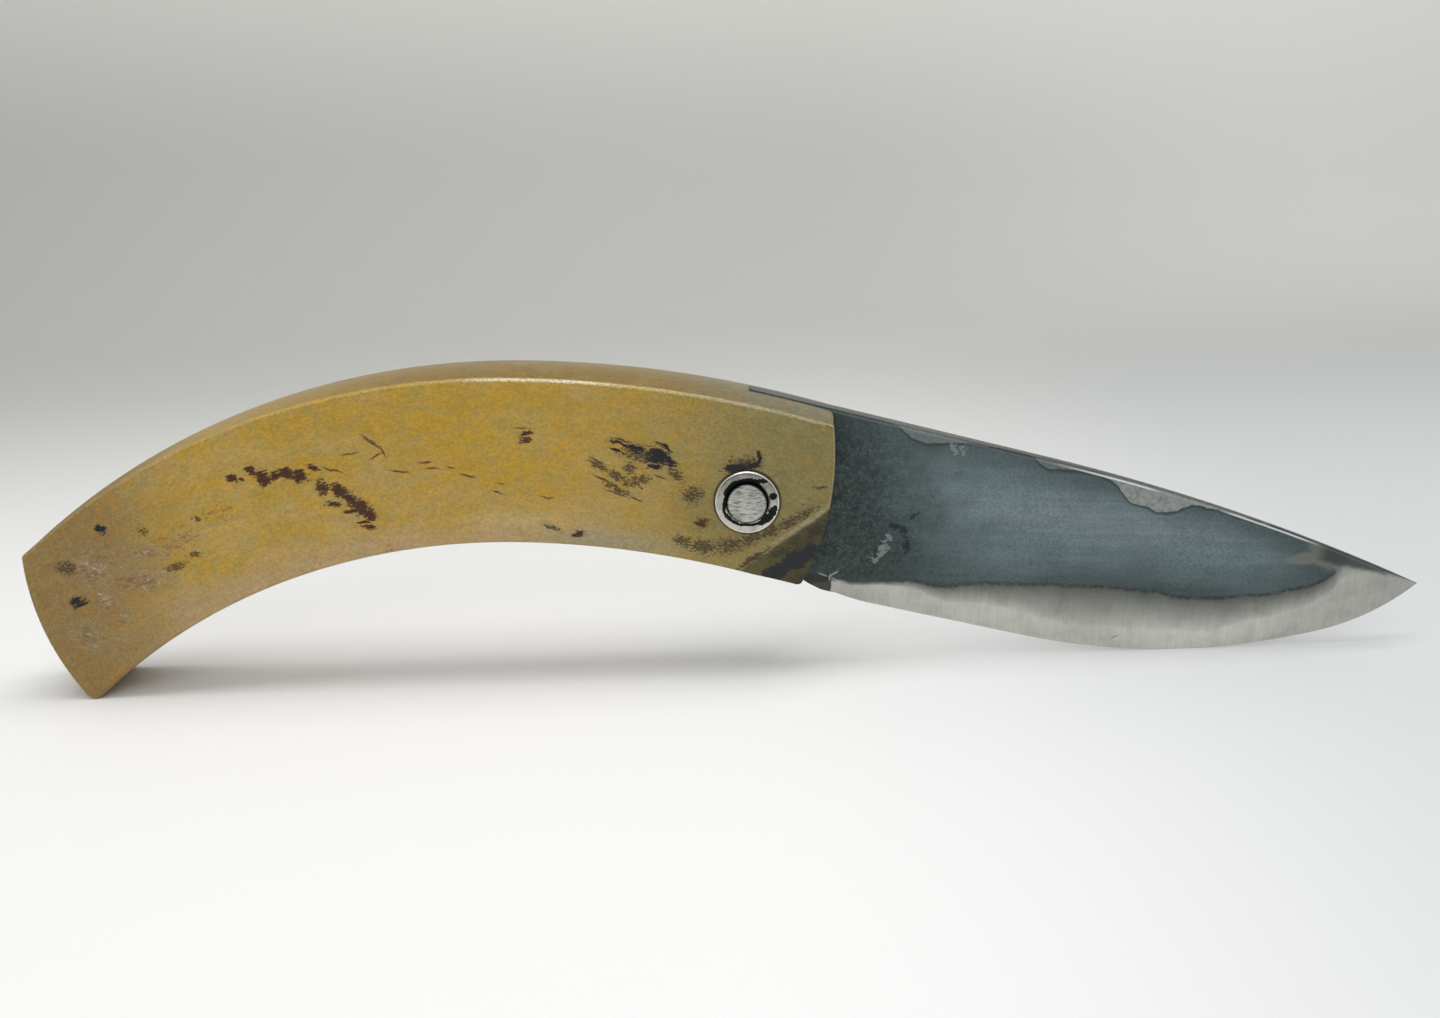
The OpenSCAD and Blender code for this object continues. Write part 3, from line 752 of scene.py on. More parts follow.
    # Painted highlight: a pale broken line along the facet's ridge
    facet_ridge_highlight = p.times(p.ramp(p.math("ABSOLUTE", under), 0.5, 0.1), p.ramp(x, 1.5, 4.5))
    colour = p.coats(
        colour,
        (HORN.halo, p.most(black_field, p.times(brown_field, 0.6)), 0.35),
        (HORN.butt_fleck, p.ramp(crumbs, 0.46, 0.36), p.ramp(along, -84, -100, 0.0, 0.5)),
        (HORN.chalk_ground, chalk_field, 0.3),
        (HORN.pit_shade, pit_shading, 0.5),
        (tones.horn_chalk, chalk, 0.75),
        (HORN.red_dot, dots, 0.65),
        (HORN.speckle, p.most(stray, speckled), 0.85),
        (HORN.hairline, p.marks(tight, HAIRLINES, 0.8), near),
        (p.blend(p.ramp(crumbs, 0.5, 0.64), tones.horn_brown, HORN.brown_high), brown),
        (p.blend(p.ramp(crumbs, 0.5, 0.68), tones.horn_black, HORN.black_high), black),
        (p.blend(p.ramp(crumbs, 0.5, 0.7), HORN.corner_low, HORN.corner_high), corner),
        (HORN.facet_ridge_highlight, facet_ridge_highlight, p.ramp(streaks, 0.4, 0.6, 0.25, 0.75)),
    )

    marked = p.most(brown, black, corner, chalk, speckled)
    butt = p.ramp(along, -84, -104)
    scored = p.bump(thread, 0.02, 0.5, p.bump(drift, 0.4, 0.5))
    rugged = p.bump(mottle, 0.14, p.plus(0.06, butt, 0.6), scored)
    pitted = p.bump(p.inverse(marked), 0.06, 0.7, rugged)
    gloss = p.math("ADD", p.ramp(speck, 0.3, 0.7, 0.27, 0.38), p.times(p.most(marked, butt), 0.2))
    return p.surface(Base_Color=colour, Roughness=gloss, Normal=pitted, IOR=1.54, Specular_IOR_Level=0.3)


# Curves along the blade, as (distance past the pivot, value) over a span. In mm: the height of the forge skin's
# lower limit, the depth of the rubbed patches below the spine, and how far below that limit the bevel takes to turn
# bright. The last one is how bright the bevel is.
BLADE_SPAN = (8, 102)
SKIN_LIMIT = (
    (8, -15.4), (13, -14), (18, -14.3), (24, -13.9), (30, -14.9), (38, -14.2), (50, -14.5), (62, -15.2),
    (70, -16.2), (77, -15.5), (83.5, -14.4), (87, -13.3), (88.8, -12.2), (89.8, -10.6), (91.5, -9), (102, -9),
)
RUBBED_DEPTH = (
    (8, 0), (21.5, 0.05), (26, 1.7), (30, 1), (33.5, 0.25), (42, 0.1), (45, 1.2), (51, 0.35), (55, 1), (58, 3.2),
    (61, 3.4), (67, 0.9), (72, 0.35), (79, 0), (83, -1), (90, -1.4), (102, -1.4),
)
FADE_REACH = (
    (8, 0.6), (20, 0.7), (25, 1.2), (32, 2.8), (39, 3.9), (54, 6.7), (66, 6), (77, 4.6), (87, 3.2), (102, 3),
)
BEVEL_LIGHT = (
    (8, 0.86), (16, 0.88), (24, 0.9), (39, 1), (54, 1.04), (68, 1.24), (77, 1.13), (84, 0.97), (91, 0.9),
    (102, 0.79),
)

# Marks on the blade, placed as in the horn. The tongue is the bright steel that runs back from the tip.
TONGUE = ((87.2, -8.4, 4.2, 2.3, -55), (84.4, -9.4, 3.8, 1.2, 8), (87, -9.5, 3.4, 1.3, -18))
LIGHT_FIELD = ((53, -4.1, 35, 5.6, -8),)
NICK = ((57.2, -23, 1.1, 0.2, 42),)
SMEARS = ((20.6, -8.6, 1.5, 2.6, -15), (21.4, -6.8, 0.8, 1.4, 0), (31.2, 7.2, 3, 1.7, -20),
          (19.4, -10.6, 1.4, 1.2, 0))
CURLS = ((22.3, -4.9, 2, 1, -20), (23.9, -6.2, 2, 1.1, -65), (24.2, -8.4, 2.3, 1, 75), (25.2, -3.4, 1.8, 0.5, 30))
SCRATCHES = ((11.6, -13.1, 1.3, 0.2, -25), (13.3, -12.9, 1.3, 0.2, 40), (14, -14.2, 1.9, 0.2, -30),
             (12.7, -13.6, 0.9, 0.2, 80))

# Tones of the blade besides those that the user sets
STEEL = SimpleNamespace(
    skin_low=(0.125, 0.165, 0.172), skin_light=(0.235, 0.285, 0.305), dark_high=(0.055, 0.072, 0.068),
    lower_skin=(0.05, 0.064, 0.062), upper_skin=(0.045, 0.058, 0.06), tip_skin=(0.05, 0.066, 0.066),
    sparkle=(0.19, 0.21, 0.2), cloud=(0.05, 0.07, 0.065), grain_low=(0.82, 0.86, 0.80), grain_high=(1.16, 1.14, 1.22),
    faded=(0.11, 0.118, 0.105), rubbed_rear=(0.165, 0.195, 0.19), rubbed_low=(0.10, 0.112, 0.108),
    under_skin=(0.215, 0.225, 0.2), nick=(0.14, 0.14, 0.13), border=(0.028, 0.034, 0.032), edged=(0.03, 0.036, 0.038),
    tip_band=(0.055, 0.064, 0.062), smear=(0.22, 0.235, 0.23), curl=(0.014, 0.017, 0.018), heel=(0.028, 0.03, 0.028),
    # The last tone on the next line is a painted highlight along the spine's broken edge
    scratch=(0.4, 0.39, 0.36), top_rear=(0.17, 0.177, 0.172), top_front=(0.075, 0.083, 0.083), edge=(0.9, 0.9, 0.88),
)


def forged_material():
    """Forge skin on the flanks, blue-grey and blacker at the handle, over a satin ground bevel."""
    tones = bpy.context.scene.knife_finish
    p = Paint("forged and ground steel")
    x, _, z = p.split(p.place)
    depth = p.node("Attribute", attribute_name="below_spine").outputs["Fac"]

    mottle = p.grain(p.place, (0.28, 0.3, 0.34), 6, 0.65)
    scale = p.grain(p.place, (1.5, 1.5, 1.5), 6, 0.7)
    speck = p.grain(p.place, (3.4, 3.4, 3.4), 3, 0.6)
    swirl = p.grain(p.place, (0.09, 0.2, 0.22), 5, 0.6, 0.6)
    drawn_out = p.grain(p.place, (0.06, 0.5, 1.1), 4)
    lines = p.grain(p.place, (2.6, 1.0, 0.16), 3)
    loose = p.wander(p.place, 0.5, 1.0)
    smudged = p.wander(p.place, 0.6, 1.4)

    # Where the skin is left: above the wandering lower limit, below the rubbed patches, and not past the tip's end
    level = p.stirred(p.stirred(z, p.grain(p.place, (0.22, 0.1, 0.12), 4), 1.6), scale, 0.5)
    above = p.math("SUBTRACT", level, p.curve(x, BLADE_SPAN, SKIN_LIMIT, -18, -8))
    whole = p.ramp(above, -0.1, 0.2)
    past = p.ramp(p.plus(x, z, 0.833), 79.5, 80.2)
    skin = p.times(whole, p.inverse(p.most(past, p.times(p.marks(loose, TONGUE, 0.5), 0.85))))
    fade = p.math("DIVIDE", above, p.curve(x, BLADE_SPAN, FADE_REACH, 0, 8))
    worn = p.times(p.math("MINIMUM", p.most(p.math("ADD", fade, 1.0), 0.0), 1.0), p.ramp(x, 87, 92, 1.0, 0.35))
    border = p.times(p.ramp(above, -0.3, 0.0), p.ramp(above, 0.55, 0.15))
    rim = p.times(p.ramp(above, 5.5, 0.2), whole)
    frayed = p.stirred(depth, p.grain(p.place, (0.5, 0.5, 0.5), 5), 1.1)
    under = p.math("SUBTRACT", frayed, p.curve(x, BLADE_SPAN, RUBBED_DEPTH, -1.5, 4.5))
    rubbed = p.ramp(under, 0.12, -0.08)
    edged = p.times(p.ramp(under, -0.1, 0.05), p.ramp(under, 0.7, 0.1))
    tip_band = p.times(p.ramp(p.plus(frayed, x, 0.22), 22.4, 21.4), p.ramp(x, 85.5, 88.0))

    # The skin's own colours
    dark = p.ramp(p.stirred(p.plus(x, z, 0.35), mottle, 14), 37, 15)
    forge = p.coats(
        p.blend(p.ramp(swirl, 0.3, 0.7), STEEL.skin_low, tones.skin),
        (STEEL.skin_light, p.marks(p.place, LIGHT_FIELD), 0.6),
        (p.blend(p.ramp(scale, 0.40, 0.66), tones.skin_dark, STEEL.dark_high), dark, 0.94),
        (STEEL.lower_skin, rim, p.ramp(x, 20, 60, 0.45, 0.8), p.ramp(x, 68, 80, 1.0, 0.6)),
    )
    forge = p.coats(
        p.shaded(forge, p.grey(p.ramp(drawn_out, 0.3, 0.7, 0.92, 1.08))),
        (STEEL.upper_skin, p.ramp(depth, 5.5, 0.5), 0.5),
        (STEEL.tip_skin, p.ramp(x, 79, 91, 0.0, 0.65)),
        (STEEL.sparkle, p.ramp(speck, 0.62, 0.74), dark, 0.5),
        (STEEL.cloud, p.ramp(mottle, 0.35, 0.65, 0.22, 0.0)),
    )
    forge = p.shaded(forge, p.blend(p.ramp(speck, 0.32, 0.68), STEEL.grain_low, STEEL.grain_high))

    # Ground and rubbed steel
    ground = p.shaded(tones.ground, p.grey(p.curve(x, BLADE_SPAN, BEVEL_LIGHT, 0.4, 1.2)))
    ground = p.shaded(p.coats(ground, (STEEL.faded, p.math("POWER", worn, 0.7))),
                      p.grey(p.ramp(lines, 0.3, 0.7, 1.03, 0.95)), p.grey(p.ramp(mottle, 0.4, 0.7, 1.04, 0.88)))
    ground = p.coats(ground, (STEEL.under_skin, whole, 0.85), (STEEL.nick, p.marks(loose, NICK, 0.7), 0.5))
    bare = p.coats(p.blend(p.ramp(x, 51, 57), STEEL.rubbed_rear, tones.rubbed),
                   (STEEL.rubbed_low, p.ramp(scale, 0.42, 0.66, 0.0, 0.5)))

    # The spine's top is rubbed grey at the handle and dark further on, and a painted highlight runs along its broken
    # edge
    top = p.blend(p.ramp(x, 26, 56), STEEL.top_rear, STEEL.top_front)
    edge = p.times(p.ramp(depth, 0.52, 0.44), p.ramp(depth, 0.14, 0.26))
    gap = p.ramp(p.math("ABSOLUTE", p.math("SUBTRACT", x, 66.5)), 4.0, 7.0, 0.1, 1.0)
    shine = p.times(p.ramp(x, 44, 54), p.ramp(x, 87, 83), gap)
    colour = p.coats(
        p.blend(skin, ground, forge),
        (STEEL.border, border, p.ramp(x, 18, 26), p.ramp(scale, 0.38, 0.55, 0.2, 0.7), p.ramp(x, 89.5, 88.0)),
        (bare, rubbed, p.ramp(x, 16, 22)),
        (STEEL.edged, edged, p.ramp(x, 20, 24, 0.0, 0.7)),
        (STEEL.tip_band, tip_band, 0.85),
        (STEEL.smear, p.ragged(p.marks(smudged, SMEARS), scale, 0.40, 0.26, 0.1), 0.8),
        (STEEL.curl, p.ragged(p.marks(smudged, CURLS), scale, 0.38, 0.26, 0.1), 0.85),
        (STEEL.heel, p.ramp(p.stirred(x, scale, 0.8), 13.0, 12.8), p.ramp(z, -12.6, -13.4), 0.9),
        (STEEL.scratch, p.marks(p.wander(p.place, 0.8, 0.5), SCRATCHES, 0.7), 0.7),
        (top, p.ramp(depth, 0.06, 0.02), 0.9),
        (STEEL.edge, edge, p.plus(0.08, shine, 0.8)),
    )

    finish = p.times(skin, p.inverse(p.most(rubbed, p.ramp(depth, 0.5, 0.4))))
    rough = p.blend(finish, p.ramp(lines, 0.3, 0.7, 0.30, 0.40), p.ramp(mottle, 0.3, 0.7, 0.36, 0.55))
    crust = p.bump(scale, 0.05, p.times(finish, p.plus(0.1, dark, 0.6)))
    drawn = p.bump(lines, 0.008, p.inverse(finish), crust)
    step = p.bump(finish, 0.02, 0.6, drawn)
    return p.surface(Base_Color=colour, Metallic=p.inverse(p.times(finish, 0.35)), Roughness=rough, Normal=step)


# Tones of the pin and the washers besides those that the user sets
PIN_STROKE, PIN_CLOUD = (0.13, 0.13, 0.12), (0.2, 0.2, 0.19)
# Painted light on the washers: a bright highlight round the rim and a dark shade line inside it at the top
WASHER_DULL, WASHER_RIM_HIGHLIGHT, RIM_SHADE_LINE = (0.27, 0.27, 0.25), (0.86, 0.83, 0.78), (0.06, 0.065, 0.06)
BRONZE_STAIN = (0.24, 0.15, 0.07)

# Dark scale on the washers, placed as in the horn
OXIDE_MARKS = (
    (2.1, 3.4, 1.2, 0.42, -5), (0.6, 3.2, 1.8, 0.76, -3), (-0.7, 3.15, 1.7, 0.76, 12), (-1.85, 2.7, 1.6, 0.76, 33),
    (-2.75, 1.9, 1.45, 0.62, 52), (-3.15, 0.75, 1.35, 0.42, 70), (-3.4, -0.6, 1.2, 0.34, 90),
    (-3.35, -1.65, 1.1, 0.34, -72), (-2.8, -2.3, 1.2, 0.4, -52), (-1.9, -3, 1.3, 0.36, -32),
    (-0.3, -3.4, 1.7, 0.3, 0), (4.1, -0.8, 0.7, 0.5, 60), (3.75, -1.4, 1.2, 0.8, 65), (3.2, -2.2, 1.2, 0.86, 50),
    (2.4, -2.85, 1.3, 0.62, 35), (1.3, -3.3, 1.3, 0.34, 18), (1.7, 2.55, 0.6, 0.42, -40),
    (3.83, 1.05, 0.82, 0.72, 0),
)


def pin_material():
    """Mild steel, filed flat across the end and darker down the sides."""
    tones = bpy.context.scene.knife_finish
    p = Paint("filed pin steel")
    strokes = p.grain(p.place, (1.0, 0.2, 5.6), 5, 0.7, 0.5)
    cloud = p.grain(p.place, (0.5, 0.5, 0.5), 4)
    colour = p.coats(
        p.blend(p.ramp(strokes, 0.44, 0.64), tones.pin, PIN_STROKE),
        (PIN_CLOUD, p.ramp(cloud, 0.5, 0.8, 0.0, 0.4)),
        (tones.oxide, p.ramp(p.from_pin(), 2.66, 2.92, 0.0, 0.8)),
    )
    return p.surface(Base_Color=colour, Metallic=1.0, Roughness=p.ramp(strokes, 0.3, 0.7, 0.28, 0.45),
                     Normal=p.bump(strokes, 0.03, 0.8))


def washer_material():
    """Worn steel washer with dark scale left in patches and in its countersink, painted lighter low on its face and
    darker high up, with a painted highlight round its rim and a painted shade line inside the rim at the top.
    """
    tones = bpy.context.scene.knife_finish
    p = Paint("worn washer steel")
    reach = p.from_pin()
    cloud = p.grain(p.place, (0.7, 0.7, 0.7), 5, 0.6)
    speck = p.grain(p.place, (3.2, 3.2, 3.2), 4)
    z = p.split(p.place)[2]
    scale = p.ragged(p.marks(p.wander(p.place, 1.4, 0.35), OXIDE_MARKS, 0.5), speck, 0.25, 0.5, 0.1)
    scale = p.most(scale, p.ramp(p.plus(reach, cloud, 0.4), 3.4, 3.3))
    face = p.blend(p.ramp(cloud, 0.35, 0.7), tones.washer, WASHER_DULL)
    colour = p.coats(
        # Painted shade: the face is lighter towards the bottom and darker towards the top, and the rim gets a painted
        # highlight with a painted shade line inside it at the top
        p.shaded(face, p.grey(p.ramp(z, -3.2, 3.8, 1.4, 0.72))),
        (WASHER_RIM_HIGHLIGHT, p.ramp(reach, 4.55, 4.66)),
        (RIM_SHADE_LINE, p.ramp(reach, 4.38, 4.44), p.ramp(reach, 4.6, 4.54), p.ramp(z, 1.4, 3.2, 0.0, 0.75)),
        (tones.oxide, scale, 0.98),
    )
    gloss = p.math("ADD", p.ramp(speck, 0.3, 0.7, 0.26, 0.4), p.times(scale, 0.2))
    return p.surface(Base_Color=colour, Metallic=1.0, Roughness=gloss,
                     Normal=p.bump(speck, 0.012, 0.5, p.bump(cloud, 0.06, 0.5)))


def bronze_material():
    """Plain thin bronze, rubbed in rings by the blade."""
    tones = bpy.context.scene.knife_finish
    p = Paint("rubbed bronze")
    rings = p.grain(p.node("CombineXYZ", {0: p.from_pin()}).outputs[0], (6, 1, 1), 3)
    stain = p.grain(p.place, (0.6, 0.6, 0.6), 4)
    return p.surface(Base_Color=p.blend(p.ramp(stain, 0.4, 0.7), tones.bronze, BRONZE_STAIN), Metallic=1.0,
                     Roughness=p.ramp(rings, 0.3, 0.7, 0.25, 0.45), Normal=p.bump(rings, 0.01, 0.6))


# Pieces -------------------------------------------------------------------------------------------------

def horn_outline(s):
    """The horn's side outline as (point, outward normal, crown, rim) from its lower front corner round."""
    horn = s.horn
    full, thin = 1.0, 0.55
    plain, soft, low = (0, 0), (horn.soft_edge,) * 2, (horn.belly_edge,) * 2
    soft_low, low_soft = (horn.soft_edge, horn.belly_edge), (horn.belly_edge, horn.soft_edge)
    front_low, front_up = heading(s.front_c, s.front_low), heading(s.front_c, s.front_up)
    back_front, back_rear = heading(s.back_front_c, s.front_up), heading(s.back_rear_c, s.butt_up)
    butt_up, butt_low = heading_up(s.butt_c, s.butt_up), heading_up(s.butt_c, s.butt_low)
    belly_rear, belly_front = heading(s.belly_rear_c, s.butt_low), heading(s.belly_front_c, s.front_low)
    # Each arc: centre, radius, first and last angle, steps, 1 for a bulge or -1 for a hollow, and then the crown and
    # the rim at its two ends
    arcs = (
        (s.front_c, horn.front_r, front_low, front_up, 36, 1, plain, soft),
        (s.front_up, horn.front_corner_r, front_up, back_front, 6, 1, (0, full), soft),
        (s.back_front_c, horn.back_front_r, back_front, 90, 56, 1, (full, full), soft),
        (s.back_rear_c, horn.back_rear_r, 90, back_rear, 84, 1, (full, thin), soft),
        (s.butt_up, horn.butt_corner_r, back_rear, butt_up, 8, 1, (thin, 0), soft),
        (s.butt_c, horn.butt_r, butt_up, butt_low, 32, 1, plain, soft),
        (s.butt_low, horn.butt_corner_r, butt_low, heading(s.butt_low, s.belly_rear_c) + 360, 8, 1, plain, soft_low),
        (s.belly_rear_c, horn.belly_rear_r, belly_rear, 90, 76, -1, plain, low),
        (s.belly_front_c, horn.belly_front_r, 90, belly_front, 44, -1, plain, low_soft),
        (s.front_low, horn.front_corner_r, heading(s.front_low, s.belly_front_c), front_low, 6, 1, plain, soft),
    )
    outline = []
    for centre, radius, start, end, steps, outward, crown, rim in arcs:
        for i in range(steps):
            t = i / steps
            point = polar(centre, radius, mix(start, end, t))
            outline.append((point, (point - centre).normalized() * outward, mix(*crown, t), mix(*rim, t)))
    return outline


def horn_shell(s):
    """The horn as one closed block: a wall round the outline, crowned across the back, and two flat sides."""
    outline = horn_outline(s)
    rim_steps, crown_steps = 4, 12
    rows = 2 * rim_steps + crown_steps

    def place(column, row):
        point, normal, crown, rim = outline[column % len(outline)]
        inner = s.half_t - rim
        from_side = min(row, rows - row)
        if from_side <= rim_steps:
            turn = math.radians(90 * from_side / rim_steps)
            y, inset = inner + rim * math.cos(turn), rim * (1 - math.sin(turn))
            y = -y if row <= rim_steps else y
        else:
            y, inset = mix(-inner, inner, (row - rim_steps) / crown_steps), 0
        bend = s.horn.crown_r - math.sqrt(s.horn.crown_r ** 2 - y * y)
        at = point - normal * (inset + crown * bend)
        reach = at - s.back_front_c
        if at.x > 0 and reach.length > s.horn.back_front_r - bend:
            at = s.back_front_c + reach.normalized() * (s.horn.back_front_r - bend)
        return Vector((at.x, y, at.y))

    return closed(mapped_grid(len(outline), rows, place))


def cut_facet(bm, s, side):
    """Planes off one cheek at its lower front corner and softens the ridge."""
    horn = s.horn
    ridge_x = s.front_c.x + math.sqrt(horn.front_r ** 2 - (horn.front_z + horn.facet_drop) ** 2)
    lean, slope = horn.facet_lean, horn.facet_slope
    normal = Vector((math.sin(slope) * math.sin(lean), side * math.cos(lean), -math.cos(slope) * math.sin(lean)))
    made = bmesh.ops.bisect_plane(bm, geom=bm.verts[:] + bm.edges[:] + bm.faces[:], dist=MERGE, clear_outer=True,
                                  plane_co=(ridge_x, side * s.half_t, -horn.facet_drop), plane_no=normal)
    cut = [e for e in made["geom_cut"] if isinstance(e, bmesh.types.BMEdge)]
    bmesh.ops.holes_fill(bm, edges=cut, sides=0)
    ridge = [e for e in cut if e.is_valid and all(abs(v.co.y - side * s.half_t) < MERGE * 10 for v in e.verts)]
    bmesh.ops.bevel(bm, geom=ridge, offset=RIDGE_SOFT, offset_type="OFFSET", segments=3, profile=0.5,
                    affect="EDGES", material=-1, clamp_overlap=True)


def slot_outline(s):
    """The slot: open in front of the stop, round the tang, over the folded edge and past the folded tip."""
    horn, blade, origin = s.horn, s.blade, Vector((0, 0))
    fold = frame["joints"][0]["range_deg"][1]
    space, steps = horn.slot_space, 14
    over_z, over_x = horn.back_h + 2 * CUT_OVER, horn.front_reach + 2 * CUT_OVER
    slopes = (blade.edge_slope, blade.heel_slope, blade.tip_slope)
    edge_slope, heel_slope, tip_slope = (math.degrees(slope) for slope in slopes)

    def sweep(centre, radius, start, end):
        return [polar(centre, radius, mix(start, end, i / steps)) for i in range(steps + 1)]

    edge = (sweep(s.heel_c, blade.heel_r + space, -90 - heel_slope, -90 - edge_slope)
            + sweep(s.edge_belly_c, blade.edge_belly_r + space, -90 - edge_slope, -90 + tip_slope)
            + sweep(s.tip_c, blade.tip_r + space, -90 + tip_slope, heading(s.tip_c, s.tip))[1:])
    folded_tip = heading(origin, s.tip) - fold + 360
    return ([Vector((-STOP_GAP, over_z))]
            + sweep(origin, blade.tang_r + space, 90 + math.degrees(STOP_GAP / blade.tang_r), TANG_END - fold)
            + [turned(p, -fold) for p in edge]
            + sweep(origin, s.tip.length + space, folded_tip, heading_up(origin, s.butt_low) + 2)
            + [Vector((over_x, -horn.butt_reach / 2)), Vector((over_x, over_z))])


class KNIFE_OT_horn(bpy.types.Operator):
    """Model the one-piece horn handle with its slot, facets and washer seats"""
    bl_idname = "knife.horn"
    bl_label = "Horn Handle"

    def execute(self, context):
        s = side_view()
        pivot = context.scene.knife_pivot
        bm = horn_shell(s)
        for side in (NEAR, FAR):
            cut_facet(bm, s, side)
        slot_w = s.blade.thickness + 2 * s.horn.slot_side
        seat, floor = pivot.washer_d / 2 + pivot.seat_space, s.half_t - pivot.seat_depth
        clear = s.half_t + CUT_OVER
        bm = carved(bm, "DIFFERENCE", [
            plate(slot_outline(s), slot_w),
            across(pivot.pin_d / 2 + pivot.fixed, -clear, clear),
            across(seat, floor, clear),
            across(seat, -clear, -floor),
        ])
        bmesh.ops.remove_doubles(bm, verts=bm.verts, dist=MERGE)
        bmesh.ops.holes_fill(bm, edges=[e for e in bm.edges if e.is_boundary], sides=0)
        finished(bm, "waxed_horn_handle", horn_material(), "handle", "horn_handle", 35)
        return {"FINISHED"}


# Past the start of the grind: where the bevel grows to its full height, and where the edge gets thin
BEVEL_GROWS = (-1.5 * MM, 26 * MM)
EDGE_THINS = (-2.6 * MM, 0.8 * MM)


def blade_section(s, x):
    """Half of the blade's section at x, from the middle of the spine to the middle of the edge, as (z, y)."""
    blade = s.blade
    top, foot = spine_z(s, x), edge_z(s, x)
    tall = max(top - foot, 0)
    half = mix(blade.thickness / 2, blade.tip_thickness / 2, max(x - blade.taper_x, 0) / (s.tip.x - blade.taper_x))
    half *= 1 - 0.75 * smooth(s.tip.x - THIN_TIP, s.tip.x, x) ** 2
    chamfer = min(blade.spine_chamfer, tall * 0.2, half * 0.6)
    grown, thinned = (smooth(s.grind_x + low, s.grind_x + high, x) for low, high in (BEVEL_GROWS, EDGE_THINS))
    bevel = min(mix(blade.bevel_heel, blade.bevel_belly, grown), 0.72 * tall)
    edge = mix(half, min(blade.edge_thickness / 2, half), thinned)
    shoulder, soft = foot + bevel, min(0.5 * MM, bevel * 0.3)
    flank_rows, bevel_rows = 14, 12
    points = [(top, 0), (top, (half - chamfer) * 0.55), (top, half - chamfer),
              (top - 0.35 * chamfer, half - 0.2 * chamfer), (top - chamfer, half)]
    for i in range(1, flank_rows + 1):
        points.append((mix(top - chamfer, shoulder + soft, i / flank_rows), half))
    for i in range(1, bevel_rows + 1):
        t = i / bevel_rows
        swell = 0.06 * math.sin(math.pi * t) * (half - edge)
        points.append((mix(shoulder, foot, t), mix(half, edge, t) + swell))
    return points + [(foot, 0)]


def blade_stations(s):
    """Distances past the pivot of the blade's sections, closer together at the heel and the tip."""
    marks = (0, s.heel.x, s.grind_x + 2 * MM, s.tip.x - 14 * MM, s.tip.x)
    spans = zip(marks, marks[1:], (12, 16, 96, 34), (1, 1, 1, 0.85))
    stations = [mix(start, end, (i / count) ** ease) for start, end, count, ease in spans for i in range(count)]
    return stations + [s.tip.x - 0.02 * MM]


class KNIFE_OT_blade(bpy.types.Operator):
    """Model the forged blade with its tang, ground bevel and bore"""
    bl_idname = "knife.blade"
    bl_label = "Forged Blade"

    def execute(self, context):
        s = side_view()
        pivot = context.scene.knife_pivot
        stations = blade_stations(s)
        halves = [blade_section(s, x) for x in stations]
        count = len(halves[0])
        ring = 2 * (count - 1)

        def place(column, row):
            row %= ring
            mirror = row >= count
            z, y = halves[column][ring - row if mirror else row]
            return Vector((stations[column], y if mirror else -y, z))

        bm = closed(mapped_grid(len(stations) - 1, ring, place))
        half = s.blade.thickness / 2 - TANG_INSET
        bm = carved(bm, "UNION", [across(s.blade.tang_r - TANG_INSET, -half, half)])
        bm = carved(bm, "DIFFERENCE", [across(pivot.pin_d / 2 + pivot.running, -CUT_OVER, CUT_OVER)])
        bmesh.ops.remove_doubles(bm, verts=bm.verts, dist=MERGE)
        bmesh.ops.dissolve_degenerate(bm, dist=10 * MERGE, edges=bm.edges)
        below = bm.verts.layers.float.new("below_spine")
        for v in bm.verts:
            v[below] = (spine_z(s, min(max(v.co.x, 0), s.tip.x)) - v.co.z) / MM
        finished(bm, "forged_blade", forged_material(), "blade", "blade", 28)
        return {"FINISHED"}


def rounded(points, radius, steps=4):
    """A profile whose marked corners, given as (r, y, True), are rounded by short arcs."""
    result = []
    for i, (r, y, soft) in enumerate(points):
        here = Vector((r, y))
        if not soft:
            result.append(here)
            continue
        before, after = (Vector(points[(i + k) % len(points)][:2]) for k in (-1, 1))
        a, b = here + (before - here).normalized() * radius, here + (after - here).normalized() * radius
        for k in range(steps + 1):
            t = k / steps
            result.append(a.lerp(here, t).lerp(here.lerp(b, t), t))
    return [tuple(p) for p in result]


class KNIFE_OT_pin(bpy.types.Operator):
    """Model the pivot pin with its two peened and filed ends"""
    bl_idname = "knife.pin"
    bl_label = "Pivot Pin"

    def execute(self, context):
        s, pivot = side_view(), context.scene.knife_pivot
        end, head, shank = s.half_t + pivot.proud, pivot.head_d / 2, pivot.pin_d / 2
        face = s.half_t - pivot.seat_depth + pivot.washer_t
        half = rounded([(0, end, False), (head * 0.55, end - PIN_DOME * 0.2, False), (head, end - PIN_DOME, True),
                        (head, face - pivot.rim, False), (shank, face - pivot.sink_depth, False)], pivot.rim * 0.8)
        bm = turned_profile(half + [(r, -y) for r, y in reversed(half)], loop=False)
        finished(bm, "peened_pin", pin_material(), "handle", "pivot_pin", 40)
        return {"FINISHED"}


# The countersink's uneven lip: its distance inside the rim and its depth, the noise's shift between the two
# washers and its size, and the swing as a share of the radius, with the least noise that counts
LIP = SimpleNamespace(inside=0.8 * MM, deep=0.4 * MM, apart=9 * MM, grain=2.2 * MM, swing=0.07, least=-0.3)


